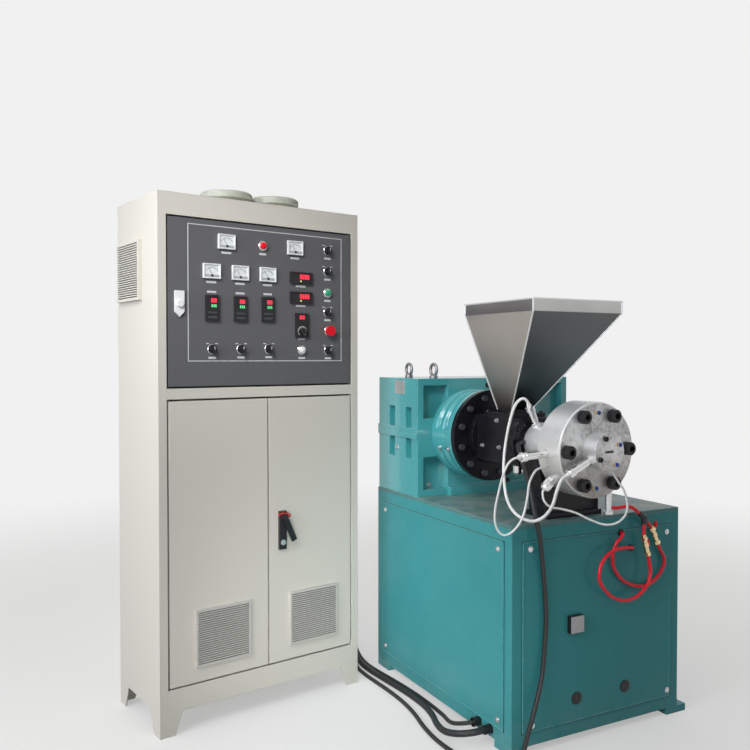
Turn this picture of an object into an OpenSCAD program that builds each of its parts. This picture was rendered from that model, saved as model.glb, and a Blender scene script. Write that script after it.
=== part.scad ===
// Magnetic strip extruder with its control cabinet.
// Lengths are millimetres and angles are degrees.
// Modules work from the extruder's front left corner on the floor, with the barrel
// pointing to -Y, and place() moves the whole machine onto the middle of its floor plan.

/* [Machine base] */
// Width of the base across the machine
base_w = 724; // [640:1:860]
// Length of the base along the barrel
base_len = 896; // [820:1:1040]
// Height of the deck above the floor
base_h = 730; // [640:1:800]
// Width of the square corner posts
post_w = 50; // [40:1:70]
// Height of the frame rails
rail_h = 53; // [40:1:80]
// Thickness of the deck plate
deck_t = 12; // [8:1:20]
// Thickness of the cover panels
panel_t = 3; // [2:0.5:5]
// How far a cover panel laps over posts and rails
panel_lap = 9; // [5:1:15]
// Height of the anchor feet
foot_h = 24; // [16:1:40]
// How far the feet stand out at the sides
foot_out = 42; // [32:1:60]
// Length of a foot along the base
foot_len = 90; // [70:1:120]
// Radius of the anchor holes
anchor_r = 9; // [6:0.5:11]
// Radius of the conduit holes in the front panel
conduit_r = 17; // [12:0.5:20]
// Height of the conduit holes above the floor
conduit_z = 142; // [120:1:200]
// Place of the first conduit hole from the left
conduit_x = 261; // [180:1:300]
// Distance between the conduit holes
conduit_gap = 211; // [120:1:240]
// Side of the square panel latch
latch_w = 54; // [40:1:70]
// How far the latch stands out
latch_out = 18; // [10:1:26]
// Left edge of the latch
latch_x = 222; // [160:1:300]
// Lower edge of the latch above the floor
latch_z = 364; // [260:1:440]

/* [Gear housing] */
// Setback of the housing from the base's sides
housing_set = 4; // [4:1:12]
// Length of the housing along the barrel
housing_len = 307; // [240:1:309]
// Front of the housing behind the front of the base
housing_y = 587; // [560:1:587]
// Height of the housing above the deck
housing_rise = 447; // [400:1:520]
// Height of the barrel axis and of the split above the deck
axis_rise = 239; // [215:1:270]
// Place of the barrel axis from the left of the base
axis_x = 230; // [210:1:300]
// Width of the pockets in the housing's corners
pocket_w = 108; // [80:1:120]
// Height of the pockets
pocket_h = 124; // [90:1:140]
// Depth of the pockets
pocket_d = 36; // [20:1:60]
// Distance of the pockets from the housing's edges
pocket_edge = 26; // [18:1:40]
// Height of each half of the split flange
flange_h = 20; // [12:1:28]
// How far the split flange stands out
flange_out = 5; // [3:1:8]
// Width of the bolt slots in the sides
slot_w = 46; // [30:1:60]
// Height of the bolt slots
slot_h = 78; // [50:1:100]
// Depth of the bolt slots
slot_d = 28; // [15:1:40]
// Radius of the eye bolt rings
eye_r = 22; // [16:1:30]
// Thickness radius of the eye bolt rings
eye_wire = 6; // [4:0.5:8]

/* [Barrel and die] */
// Radius of the output boss
boss_r = 167; // [150:1:190]
// Length of the output boss
boss_len = 138; // [110:1:160]
// Depth of the grooves round the boss
groove_d = 9; // [5:1:14]
// Radius of the flange disc
disc_r = 168; // [150:1:190]
// Thickness of the flange disc
disc_t = 22; // [15:1:30]
// Radius of the circle of disc bolts
disc_bolt_circle = 142; // [130:1:150]
// Radius of a disc bolt head
disc_bolt_r = 11; // [8:0.5:13]
// Height of a disc bolt head
disc_bolt_h = 12; // [8:1:16]
// Length of the feed block along the barrel
feed_len = 262; // [240:1:280]
// Half the width of the feed block
feed_half = 78; // [70:1:90]
// Height of the feed block's top over the axis
feed_top = 81; // [75:1:95]
// Depth of the feed block's underside below the axis
feed_drop = 80; // [70:1:95]
// Radius of the feed block's end flanges
feed_flange_r = 104; // [96:1:118]
// Thickness of the feed block's end flanges
feed_flange_t = 22; // [16:1:28]
// Radius of the barrel
barrel_r = 58; // [50:1:62]
// Length of the barrel between feed block and die
barrel_len = 185; // [170:1:220]
// Wall of the heater band round the barrel
band_t = 9; // [6:0.5:12]
// Bare barrel at each end of the heater band
band_bare = 14; // [8:1:24]
// Radius of the die drum
die_r = 150; // [130:1:165]
// Length of the die drum
die_len = 105; // [90:1:130]
// Bevel at the edges of the die drum
die_bevel = 4; // [2:0.5:8]
// Radius of the die bolt circle
die_bolt_circle = 121; // [106:1:125]
// Radius of a die bolt head
die_bolt_r = 21; // [14:0.5:22]
// Height of a die bolt head
die_bolt_h = 26; // [24:1:44]
// Radius of the die nose
nose_r = 58; // [50:1:64]
// Length of the die nose
nose_len = 55; // [44:1:70]
// Width of the strip orifice
strip_w = 36; // [24:1:44]
// Height of the strip orifice
strip_h = 8; // [6:0.5:12]
// Depth of the strip orifice
strip_d = 32; // [20:1:40]
// Radius of the coolant pipe
pipe_r = 11; // [8:0.5:14]

/* [Hopper] */
// Half the width of the hopper's mouth
mouth_half = 183; // [150:1:200]
// Length of the hopper's mouth
mouth_len = 372; // [320:1:400]
// Height of the straight rim
rim_h = 40; // [30:1:60]
// Height of the sloping part
slope_h = 329; // [280:1:380]
// Half the width of the throat
throat_half = 40; // [34:1:44]
// Length of the throat
throat_len = 76; // [66:1:84]
// Distance of the throat's back from the flange disc
throat_set = 95; // [80:1:110]
// Thickness of the hopper sheet
hopper_t = 3; // [2:0.5:4]
// Thickness of the hopper's seat plate
seat_t = 12; // [8:1:16]
// Margin of the seat plate round the throat
seat_margin = 38; // [30:1:50]
// Height of the collar on the seat plate
collar_h = 11; // [8:1:16]

/* [Control cabinet] */
// Place of the cabinet's front left corner across the machine
cab_x = -948; // [-1200:1:-900]
// Place of the cabinet's front left corner behind the base's front
cab_y = 632; // [500:1:800]
// Turn of the cabinet against the extruder
cab_turn = 9.2; // [0:0.1:15]
// Width of the cabinet
cab_w = 796; // [760:1:820]
// Depth of the cabinet
cab_d = 374; // [340:1:450]
// Height of the cabinet with its feet
cab_h = 1800; // [1760:1:1900]
// Thickness of the cabinet sheet
sheet_t = 2; // [1.5:0.5:3]
// Height of the cabinet's feet
leg_h = 78; // [60:1:100]
// Width of a foot at its top
leg_top = 82; // [70:1:100]
// Width of a foot at the floor
leg_low = 52; // [40:1:66]
// Thickness of a foot's plates
leg_t = 4; // [3:0.5:6]
// Width of the front stiles
stile_w = 29; // [24:1:36]
// Depth of the stiles and rails
stile_d = 30; // [24:1:40]
// Height of the bottom rail
low_rail_h = 76; // [60:1:90]
// Height of the middle rail's lower edge as a share of the cabinet's height
mid_rail_share = 0.621; // [0.6:0.001:0.65]
// Height of the middle rail
mid_rail_h = 36; // [30:1:50]
// Height of the top rail
top_rail_h = 74; // [60:1:90]
// Radius of the roof fans
fan_r = 94; // [85:1:110]
// Height of the roof fans
fan_h = 56; // [45:1:95]
// Wall of the roof fans
fan_wall = 5; // [4:0.5:8]
// Radius of a roof fan's body under its brim
fan_neck = 79; // [70:1:89]
// Height of a roof fan's brim
fan_brim = 26; // [16:1:45]
// Distance between the roof fans' middles
fan_gap = 197; // [190:1:260]
// Place of the first roof fan from the left
fan_x = 338; // [260:1:400]
// Side of the square side grille
side_grille_w = 205; // [180:1:230]
// Front edge of the side grille
side_grille_y = 140; // [60:1:140]
// Distance of the side grille's upper edge below the roof
side_grille_drop = 143; // [100:1:300]
// How far the side grille stands out
side_grille_out = 14; // [8:1:20]

/* [Cabinet doors] */
// Gap between a door's hinge edge and the stile
hinge_gap = 6.5; // [6.5:0.5:8]
// Gap between a door and the rails
door_gap = 6; // [5:0.5:8]
// Gap between the two lower doors
split_gap = 6; // [6:0.5:10]
// Place of the split between the lower doors
split_x = 406; // [380:1:420]
// Thickness of the door sheet
door_t = 2; // [1.5:0.5:3]
// Depth of the doors' folded edges
door_d = 20; // [16:1:24]
// Distance of the hinge pins from the hinge edge
pin_in = 10; // [9:0.5:12]
// Distance of the hinge pins behind the door's face
pin_back = 6; // [5:0.5:8]
// Radius of the hinge pins
pin_r = 3; // [2:0.5:4]
// Radial play of the hinge pins in the doors
pin_play = 0.06; // [0.02:0.02:0.1]
// How far a hinge pin reaches into a door
pin_reach = 10; // [6:1:12]
// Width of a door grille
grille_w = 208; // [180:1:230]
// Height of a door grille
grille_h = 196; // [160:1:220]
// How far a door grille stands out
grille_out = 8; // [6:1:16]
// Lower edge of the door grilles above the floor
grille_z = 210; // [190:1:260]
// Number of slots in a grille
grille_slots = 24; // [8:1:30]
// Frame of a grille round its slots
grille_rim = 8; // [6:1:20]
// Width of the door handle
handle_w = 28; // [22:1:34]
// Height of the door handle
handle_h = 138; // [110:1:160]
// Thickness of the handle's base
handle_t = 12; // [8:1:16]
// Angle at which the handle's lever stands off
handle_lift = 24; // [0:1:40]

/* [Instruments] */
// Width of an analogue meter
meter_w = 63; // [50:1:80]
// Height of an analogue meter
meter_h = 50; // [42:1:64]
// Width of a temperature controller
controller_w = 49; // [42:1:66]
// Height of a temperature controller
controller_h = 87; // [76:1:100]
// Width of a digital display
display_w = 92; // [80:1:110]
// Height of a digital display
display_h = 42; // [36:1:56]
// Width of the speed drive
drive_w = 54; // [46:1:74]
// Height of the speed drive
drive_h = 88; // [80:1:96]
// How far the instruments stand out of the panel
bezel_out = 9; // [8:1:20]
// Width of an instrument's bezel
bezel_w = 4; // [3:0.5:8]
// Depth of an instrument's window behind its bezel
window_d = 4; // [2:0.5:8]
// Radius of the collars of knobs and buttons
collar_r = 16; // [14:1:24]
// Height of those collars
collar_out = 6; // [4:1:10]
// Radius of a knob
knob_r = 12; // [9:0.5:18]
// How far a knob stands out beyond its collar
knob_out = 16; // [12:1:26]
// Radius of a push button
button_r = 12; // [9:0.5:15]
// How far a push button stands out beyond its collar
button_out = 9; // [5:1:14]
// Radius of the emergency stop's mushroom
stop_r = 19; // [16:1:26]

/* [Hidden] */
$fn = 64;

// Heights and stations along the barrel, counted forward from the housing's face
axis_z = base_h + axis_rise;
frame_top = base_h - deck_t;
panel_low = foot_h + rail_h - panel_lap;
panel_high = frame_top - rail_h + panel_lap;
panel_in = post_w - panel_lap;
housing_x = housing_set;
housing_w = base_w - housing_set * 2;
boss_end = boss_len;
disc_end = boss_end + disc_t;
feed_end = disc_end + feed_len;
barrel_end = feed_end + barrel_len;
die_end = barrel_end + die_len;
nose_end = die_end + nose_len;
band_r = barrel_r + band_t;
face_play = 0.3;

// Floor plan and its middle
x_min = cab_x - side_grille_out * cos(cab_turn) - (side_grille_y + side_grille_w) * sin(cab_turn);
x_max = base_w + foot_out;
y_min = housing_y - nose_end;
y_max = cab_y + cab_w * sin(cab_turn) + cab_d * cos(cab_turn);
mid_x = (x_min + x_max) / 2;
mid_y = (y_min + y_max) / 2;

// Hopper outline in the machine's frame
seat_z = axis_z + feed_top;
throat_z = seat_z + seat_t + collar_h;
slope_z = throat_z + slope_h;
mouth_z = slope_z + rim_h;
throat_back_y = housing_y - disc_end - throat_set;
throat_front_y = throat_back_y - throat_len;
mouth_front_y = throat_back_y - mouth_len;

// Cabinet openings and door edges
open_l = stile_w;
open_r = cab_w - stile_w;
low_z = leg_h + low_rail_h;
mid_rail_z = cab_h * mid_rail_share;
side_grille_z = cab_h - side_grille_drop - side_grille_w;
upper_z = mid_rail_z + mid_rail_h;
top_z = cab_h - top_rail_h;
left_x0 = open_l + hinge_gap;
left_x1 = split_x - split_gap / 2;
right_x0 = split_x + split_gap / 2;
right_x1 = open_r - hinge_gap;
upper_x0 = open_l + door_gap;
low_z0 = low_z + door_gap;
low_z1 = mid_rail_z - door_gap;
upper_z0 = upper_z + door_gap;
upper_z1 = top_z - door_gap;
block_w = pin_in * 2;
block_h = pin_reach + pin_r;

// Colours
teal = [0.27, 0.58, 0.58];
deck_grey = [0.35, 0.48, 0.48];
black = [0.08, 0.08, 0.09];
dark_grey = [0.25, 0.26, 0.27];
plate_grey = [0.72, 0.72, 0.70];
steel = [0.62, 0.60, 0.57];
light_steel = [0.80, 0.81, 0.82];
cabinet_white = [0.88, 0.88, 0.86];
cabinet_beige = [0.78, 0.76, 0.71];
fan_cream = [0.93, 0.92, 0.88];
panel_grey = [0.36, 0.36, 0.37];
meter_white = [0.85, 0.86, 0.84];
signal_red = [0.75, 0.10, 0.10];
sleeve_white = [0.92, 0.92, 0.90];
brass = [0.72, 0.55, 0.28];

// Gear housing details
housing_top = base_h + housing_rise;
slot_first = housing_y + slot_w;
slot_second = housing_y + housing_len - slot_w * 2 - flange_h * 2;
pad_out = 24;
pad_h = 34;
eye_set = 58;
eye_in = 110;
eye_front = housing_y + eye_set;
eye_back = housing_y + housing_len - eye_set;
eye_foot = 10;

// Barrel details
disc_bolts = 12;
die_bolt_count = 6;
plug_r = 11;
plug_collar_share = 1.3;
plug_len = 108;
collar_share = 1.5;
boot_share = 0.7;
band_share = 0.676;
nose_share = 0.9;
drum_plug_turn = 183;
band_plug_turn = 114.6;
nose_plug_turn = 205;
cap_turn = 222;
cap_share = 0.7;
cap_r = 15;
cap_len = 30;
support_set = 150;
support_s = barrel_end - support_set;
support_len = 80;
support_l = 62;
support_r = 168;
support_foot = 16;
saddle_half = 84;
pipe_side = 182;
pipe_back = 36;

// Cabinet details
gland_r = 22;
gland_share = 0.9;
gland_out = 32;
gland_y = 200;
gland_gap = 56;
gland_z = 250;
gland_bore = 12.5;
base_gland_r = 17;
base_gland_out = 26;
base_gland_y = 112;
base_gland_gap = 64;
base_gland_z = 50;
port_r = 11;
port_out = 7;
port_play = 2.5;
grille_shift = 10;
handle_in = 37;
lock_in = 21;
lock_w = 33;
lock_h = 86;
lock_t = 8;

// Places of the instruments across and up the instrument door
meter_shares = [[0.289, 0.879], [0.664, 0.880], [0.212, 0.695], [0.360, 0.695], [0.509, 0.696]];
controller_shares = [[0.214, 0.473], [0.361, 0.473], [0.510, 0.477]];
display_shares = [[0.699, 0.689], [0.699, 0.562]];
drive_shares = [[0.703, 0.382]];
knob_shares = [[0.215, 0.223], [0.365, 0.225], [0.516, 0.227],
  [0.859, 0.882], [0.859, 0.743], [0.859, 0.473], [0.861, 0.220]];
button_shares = [[0.484, 0.875], [0.704, 0.221], [0.859, 0.602]];
stop_shares = [[0.864, 0.350]];
lock_share = 0.49;
handle_share = 0.5;

// Routes of the cords
cord_sides = 8;
cord_steps = 3;
first_side = [0.3, 0.5, 0.8];
cable_r = 7.5;
motor_cable_r = 11;
control_cable_r = 7;
loop_lead_r = 5;
lead_r = 3.5;
hose_r = 6;
heater_cable_route = [
  [-184, 958, 250], [-163, 962, 250], [-135, 966, 243], [-114, 962, 212], [-106, 945, 140],
  [-108, 915, 60], [-111, 870, 16], [-112, 800, 9], [-108, 700, 9], [-104, 600, 9], [-106, 500, 9],
  [-118, 400, 9], [-140, 300, 9], [-152, 200, 9], [-148, 100, 9], [-126, 10, 9], [-92, -48, 9],
  [-50, -74, 16], [-8, -66, 44], [32, -44, 92], [72, -26, 155], [104, -18, 240], [118, -14, 330],
  [124, -14, 440], [114, -14, 560], [98, -19, 660], [84, -24, 715], [78, -14, 765], [84, 20, 845],
  [98, 62, 890], [114, 110, 935], [130, 140, 962], [144, 149, 971], [162.7, 150, 972]];
motor_cable_route = [
  [-193, 1014, 250], [-172, 1017, 250], [-138, 1022, 243], [-106, 1018, 210], [-90, 1000, 140],
  [-84, 960, 60], [-82, 900, 20], [-78, 830, 12], [-72, 740, 12], [-62, 640, 12], [-55, 540, 12],
  [-56, 440, 12], [-70, 360, 12], [-96, 285, 14], [-110, 215, 22], [-98, 155, 36], [-64, 119, 47],
  [-26, 112, 50], [-8, 112, 50]];
control_cable_route = [
  [-202, 1069, 250], [-181, 1072, 250], [-148, 1077, 244], [-104, 1074, 218], [-74, 1058, 160],
  [-60, 1020, 80], [-55, 960, 24], [-53, 900, 8], [-52, 820, 8], [-44, 740, 8], [-34, 640, 8],
  [-28, 540, 8], [-28, 440, 8], [-34, 350, 9], [-50, 285, 16], [-60, 235, 30], [-50, 194, 44],
  [-26, 177, 50], [-8, 176, 50]];
loop_lead_route = [
  [171.4, 137, 1097], [165.5, 137.5, 1110], [154, 142, 1119], [141, 151, 1113], [133, 165, 1092],
  [130, 181, 1053], [125, 194, 998], [111, 192, 924], [91, 166, 853], [72, 125, 795], [60, 75, 762],
  [52, 15, 748], [44, -50, 752], [40, -105, 776], [40, -142, 814], [48, -153, 860], [66, -153, 892],
  [88.5, -152.5, 903]];
side_lead_route = [
  [-28.5, -72.5, 955.4], [-46, -71, 953], [-62, -62, 938], [-70, -46, 900], [-73, -30, 850],
  [-72, -12, 800], [-66, 0, 755], [-52, 2, 722], [-34, -6, 708], [-12, -22, 722], [8, -38, 760],
  [22, -44, 815], [30, -46, 870], [46, -52, 905], [64, -55, 915], [87.5, -56, 917]];
front_lead_route = [[95.8, -39, 848.2], [85, -42, 836], [86, -48, 812], [104, -56, 792], [140, -64, 784],
  [180, -86, 772], [214, -114, 752], [250, -140, 738], [282, -160, 745], [304, -172, 770], [308, -175, 805],
  [296, -173, 845], [279, -166, 873], [264.8, -159, 898.2], [256, -157, 916.1]];
supply_hose_route = [[421.2, 9.1, 752], [437, -2.75, 752], [458, -13, 756], [480, -22, 753],
  [495.3, -27.4, 741.8], [507.7, -28, 732.2]];
left_hose_route = [[545, -34, 584.5], [551, -34, 562], [556, -34, 525], [538, -35, 482], [488, -36, 452],
  [432, -36, 448], [374, -36, 472], [332, -36, 518], [326, -36, 556], [346, -36, 596], [390, -35, 620],
  [440, -34, 623], [468, -31, 620], [485, -23, 616], [492, -13, 613], [493, -3.6, 612]];
right_hose_route = [[606, -18, 615.5], [620, -17, 592], [639, -15, 566], [638, -14, 532], [602, -14, 494],
  [548, -14, 476], [484, -14, 490], [438, -14, 518], [408, -14, 560], [404, -15, 602], [414, -19, 636],
  [430, -25, 656], [442, -22, 665], [447, -13, 667], [448, -3.6, 667]];
port_places = [[493, 612], [448, 667]];
tee_in = [508, -28, 732];
tee_out = [530, -29, 715];
left_stub = [528, -32, 650];
left_brass = [545, -34, 585];
right_stub = [576, -20, 674];
right_brass = [606, -18, 616];
tee_r = 8;
nut_r = 11;

// Placing
module place() {
  translate([-mid_x, -mid_y, 0])
    children();
}

module on_axis() {
  place()
    translate([axis_x, housing_y, axis_z])
      rotate([90, 0, 0])
        children();
}

module on_cabinet() {
  place()
    translate([cab_x, cab_y, 0])
      rotate([0, 0, cab_turn])
        children();
}

// A point on the cabinet's front, with +Z pointing out of it
module on_front(x, z) {
  on_cabinet()
    translate([x, 0, z])
      rotate([90, 0, 0])
        children();
}

// A place on the instrument door, given as shares of its width and height
module on_panel(place) {
  on_front(upper_x0 + (right_x1 - upper_x0) * place[0], upper_z0 + (upper_z1 - upper_z0) * place[1])
    children();
}

// A box between two corners
module box(a, b) {
  translate(a)
    cube(b - a);
}

// A cylinder that leaves the barrel's axis sideways at a turn, from one radius to another
module spoke(turn, station, r0, r1, r) {
  translate([0, 0, station])
    rotate([0, 0, turn])
      translate([r0, 0, 0])
        rotate([0, 90, 0])
          cylinder(h = r1 - r0, r = r);
}

// Machine base
module base_posts() {
  color(teal)
    place()
      for (x = [0, base_w - post_w], y = [0, base_len - post_w])
        box([x, y, foot_h], [x + post_w, y + post_w, frame_top]);
}

module base_rails() {
  color(teal)
    place()
      for (z = [foot_h, frame_top - rail_h]) {
        for (y = [0, base_len - post_w])
          box([post_w, y, z], [base_w - post_w, y + post_w, z + rail_h]);
        for (x = [0, base_w - post_w])
          box([x, post_w, z], [x + post_w, base_len - post_w, z + rail_h]);
      }
}

module anchor_feet() {
  color(teal)
    place()
      for (y = [0, base_len - foot_len])
        translate([0, y, 0]) {
          box([0, 0, 0], [post_w, foot_len, foot_h]);
          difference() {
            box([base_w - post_w, 0, 0], [base_w + foot_out, foot_len, foot_h]);
            translate([base_w + foot_out / 2, foot_len / 2, -foot_h])
              cylinder(h = foot_h * 3, r = anchor_r);
          }
        }
}

module deck_plate() {
  color(deck_grey)
    place()
      box([0, 0, frame_top], [base_w, base_len, base_h]);
}

module front_panel() {
  color(teal)
    place()
      difference() {
        box([panel_in, -panel_t, panel_low], [base_w - panel_in, 0, panel_high]);
        for (x = [conduit_x, conduit_x + conduit_gap])
          translate([x, panel_t, conduit_z])
            rotate([90, 0, 0])
              cylinder(h = panel_t * 3, r = conduit_r);
      }
}

module cover_panels() {
  color(teal)
    place() {
      for (x = [-panel_t, base_w])
        box([x, panel_in, panel_low], [x + panel_t, base_len - panel_in, panel_high]);
      box([panel_in, base_len, panel_low], [base_w - panel_in, base_len + panel_t, panel_high]);
    }
}

module panel_latch() {
  color(dark_grey)
    place()
      box([latch_x, -panel_t - latch_out, latch_z], [latch_x + latch_w, -panel_t, latch_z + latch_w]);
}

// Gear housing, split along the barrel's axis
module housing_half(z0, z1, flange0, slot0, pocket0) {
  difference() {
    union() {
      box([housing_x, housing_y, z0], [housing_x + housing_w, housing_y + housing_len, z1]);
      box([housing_x - flange_out, housing_y, flange0],
          [housing_x + housing_w + flange_out, housing_y + housing_len, flange0 + flange_h]);
    }
    for (x = [housing_x + pocket_edge, housing_x + housing_w - pocket_edge - pocket_w])
      box([x, housing_y - pocket_d, pocket0], [x + pocket_w, housing_y + pocket_d, pocket0 + pocket_h]);
    for (x = [housing_x, housing_x + housing_w], y = [slot_first, slot_second])
      box([x - slot_d, y, slot0], [x + slot_d, y + slot_w, slot0 + slot_h]);
  }
}

module gear_housing_lower() {
  color(teal)
    place() {
      housing_half(base_h, axis_z, axis_z - flange_h, axis_z - flange_h - slot_h,
                   base_h + pocket_edge);
      box([housing_x + pocket_edge + pocket_w, housing_y - pad_out, base_h],
          [housing_x + housing_w - pocket_edge - pocket_w, housing_y, base_h + pad_h]);
    }
}

module gear_housing_upper() {
  color(teal)
    place()
      housing_half(axis_z, housing_top, axis_z, axis_z + flange_h,
                   housing_top - pocket_edge - pocket_h);
}

module lifting_eyes() {
  color(dark_grey)
    place()
      for (x = [eye_in, base_w - eye_in], y = [eye_front, eye_back])
        translate([x, y, housing_top]) {
          cylinder(h = eye_foot, r = eye_r - eye_wire);
          translate([0, 0, eye_foot + eye_r])
            rotate([0, 90, 0])
              rotate_extrude()
                translate([eye_r, 0])
                  circle(r = eye_wire);
        }
}

// Barrel line
module output_boss() {
  bead = boss_len / 3;
  lip = groove_d;
  color(teal)
    on_axis()
      rotate_extrude()
        polygon([
          [0, 0], [boss_r, 0],
          [boss_r, bead - lip], [boss_r - groove_d, bead - lip / 2], [boss_r - groove_d, bead + lip / 2],
          [boss_r, bead + lip],
          [boss_r, bead * 2 - lip], [boss_r - groove_d, bead * 2 - lip / 2],
          [boss_r - groove_d, bead * 2 + lip / 2], [boss_r, bead * 2 + lip],
          [boss_r, boss_len], [0, boss_len]
        ]);
}

module flange_disc() {
  color(black)
    on_axis()
      translate([0, 0, boss_end])
        cylinder(h = disc_t, r = disc_r);
}

module flange_bolts() {
  color(dark_grey)
    on_axis()
      for (i = [0 : disc_bolts - 1])
        rotate([0, 0, (i + 1 / 2) * 360 / disc_bolts])
          translate([disc_bolt_circle, 0, disc_end])
            cylinder(h = disc_bolt_h, r = disc_bolt_r);
}

module feed_block() {
  color(black)
    on_axis()
      difference() {
        union() {
          for (s = [disc_end, feed_end - feed_flange_t])
            translate([0, 0, s])
              intersection() {
                cylinder(h = feed_flange_t, r = feed_flange_r);
                box([-feed_flange_r, -feed_flange_r, 0], [feed_flange_r, feed_top, feed_flange_t]);
              }
          box([-feed_half, -feed_drop, disc_end], [feed_half, feed_top, feed_end]);
        }
        box([-throat_half, 0, housing_y - throat_back_y],
          [throat_half, feed_top * 2, housing_y - throat_front_y]);
      }
}

module hopper_seat() {
  wide = throat_half + seat_margin;
  color(black)
    place()
      translate([axis_x, 0, seat_z])
        difference() {
          union() {
            box([-wide, throat_front_y - seat_margin, 0], [wide, throat_back_y + seat_margin, seat_t]);
            box([-throat_half - hopper_t, throat_front_y - hopper_t, 0],
                [throat_half + hopper_t, throat_back_y + hopper_t, seat_t + collar_h]);
          }
          box([-throat_half, throat_front_y, -seat_t],
            [throat_half, throat_back_y, (seat_t + collar_h) * 2]);
        }
}

// A wall bent once: six outer and six inner corners, in rows from below
module bent_wall(outer, inner) {
  polyhedron(
    points = concat(outer, inner),
    faces = [
      [0, 2, 3, 1], [2, 4, 5, 3], [6, 7, 9, 8], [8, 9, 11, 10],
      [0, 1, 7, 6], [4, 10, 11, 5],
      [0, 6, 8, 2], [2, 8, 10, 4], [1, 3, 9, 7], [3, 5, 11, 9]
    ]);
}

module hopper_side_walls() {
  color(steel)
    place()
      translate([axis_x, 0, 0])
        for (side = [0, 1])
          mirror([side, 0, 0])
            bent_wall(
              [[-throat_half - hopper_t, throat_back_y + hopper_t, throat_z],
               [-throat_half - hopper_t, throat_front_y - hopper_t, throat_z],
               [-mouth_half, throat_back_y + hopper_t, slope_z], [-mouth_half, mouth_front_y, slope_z],
               [-mouth_half, throat_back_y + hopper_t, mouth_z], [-mouth_half, mouth_front_y, mouth_z]],
              [[-throat_half, throat_back_y, throat_z], [-throat_half, throat_front_y, throat_z],
               [-mouth_half + hopper_t, throat_back_y, slope_z],
               [-mouth_half + hopper_t, mouth_front_y + hopper_t, slope_z],
               [-mouth_half + hopper_t, throat_back_y, mouth_z],
               [-mouth_half + hopper_t, mouth_front_y + hopper_t, mouth_z]]);
}

module hopper_end_walls() {
  inner = mouth_half - hopper_t;
  color(steel)
    place()
      translate([axis_x, 0, 0]) {
        bent_wall(
          [[-throat_half - hopper_t, throat_front_y - hopper_t, throat_z],
           [throat_half + hopper_t, throat_front_y - hopper_t, throat_z],
           [-mouth_half, mouth_front_y, slope_z], [mouth_half, mouth_front_y, slope_z],
           [-mouth_half, mouth_front_y, mouth_z], [mouth_half, mouth_front_y, mouth_z]],
          [[-throat_half, throat_front_y, throat_z], [throat_half, throat_front_y, throat_z],
           [-inner, mouth_front_y + hopper_t, slope_z], [inner, mouth_front_y + hopper_t, slope_z],
           [-inner, mouth_front_y + hopper_t, mouth_z], [inner, mouth_front_y + hopper_t, mouth_z]]);
        bent_wall(
          [[throat_half + hopper_t, throat_back_y + hopper_t, throat_z],
           [-throat_half - hopper_t, throat_back_y + hopper_t, throat_z],
           [mouth_half, throat_back_y + hopper_t, slope_z], [-mouth_half, throat_back_y + hopper_t, slope_z],
           [mouth_half, throat_back_y + hopper_t, mouth_z], [-mouth_half, throat_back_y + hopper_t, mouth_z]],
          [[throat_half, throat_back_y, throat_z], [-throat_half, throat_back_y, throat_z],
           [inner, throat_back_y, slope_z], [-inner, throat_back_y, slope_z],
           [inner, throat_back_y, mouth_z], [-inner, throat_back_y, mouth_z]]);
      }
}

module barrel() {
  color(steel)
    on_axis()
      translate([0, 0, feed_end])
        cylinder(h = barrel_len, r = barrel_r);
}

module heater_band() {
  color(light_steel)
    on_axis()
      translate([0, 0, feed_end + band_bare])
        difference() {
          cylinder(h = barrel_len - band_bare * 2, r = band_r);
          translate([0, 0, -band_bare])
            cylinder(h = barrel_len, r = barrel_r + face_play);
        }
}

// A plug with a collar and a boot on a spoke
module plug(turn, station, r0, length) {
  spoke(turn, station, r0, r0 + length, plug_r);
  spoke(turn, station, r0 + face_play, r0 + length / 4, plug_r * plug_collar_share);
  spoke(turn, station, r0 + length * boot_share, r0 + length, plug_r * plug_collar_share);
}

module heater_plugs() {
  color(light_steel)
    on_axis() {
      plug(drum_plug_turn, barrel_end + die_len / 2, die_r + face_play, plug_len);
      plug(band_plug_turn, feed_end + band_bare * 2, band_r + face_play, plug_len * band_share);
      plug(nose_plug_turn, die_end + nose_len / 2, nose_r + face_play, plug_len * nose_share);
      spoke(cap_turn, barrel_end + cap_r + die_bevel, die_r + face_play, die_r + cap_len, cap_r);
      translate([-feed_half * cap_share, -feed_drop - face_play, feed_end - feed_flange_t - cap_r])
        rotate([90, 0, 0])
          cylinder(h = cap_len, r = cap_r);
    }
}

module die_drum() {
  color(light_steel)
    on_axis()
      translate([0, 0, barrel_end])
        rotate_extrude()
          polygon([[0, 0], [die_r - die_bevel, 0], [die_r, die_bevel], [die_r, die_len - die_bevel],
                   [die_r - die_bevel, die_len], [0, die_len]]);
}

module die_nose() {
  color(light_steel)
    on_axis()
      difference() {
        translate([0, 0, die_end])
          cylinder(h = nose_len, r = nose_r);
        box([-strip_w / 2, -strip_h / 2, nose_end - strip_d],
          [strip_w / 2, strip_h / 2, nose_end + strip_d]);
      }
}

module die_bolts() {
  color(black)
    on_axis()
      for (i = [0 : die_bolt_count - 1])
        rotate([0, 0, i * 360 / die_bolt_count])
          translate([die_bolt_circle, 0, die_end])
            difference() {
              rotate_extrude()
                polygon([[0, 0], [die_bolt_r, 0], [die_bolt_r, die_bolt_h - die_bolt_r / 4],
                         [die_bolt_r * 3 / 4, die_bolt_h], [0, die_bolt_h]]);
              translate([0, 0, die_bolt_h / 2])
                cylinder(h = die_bolt_h, r = die_bolt_r / 2, $fn = 6);
            }
}

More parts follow.
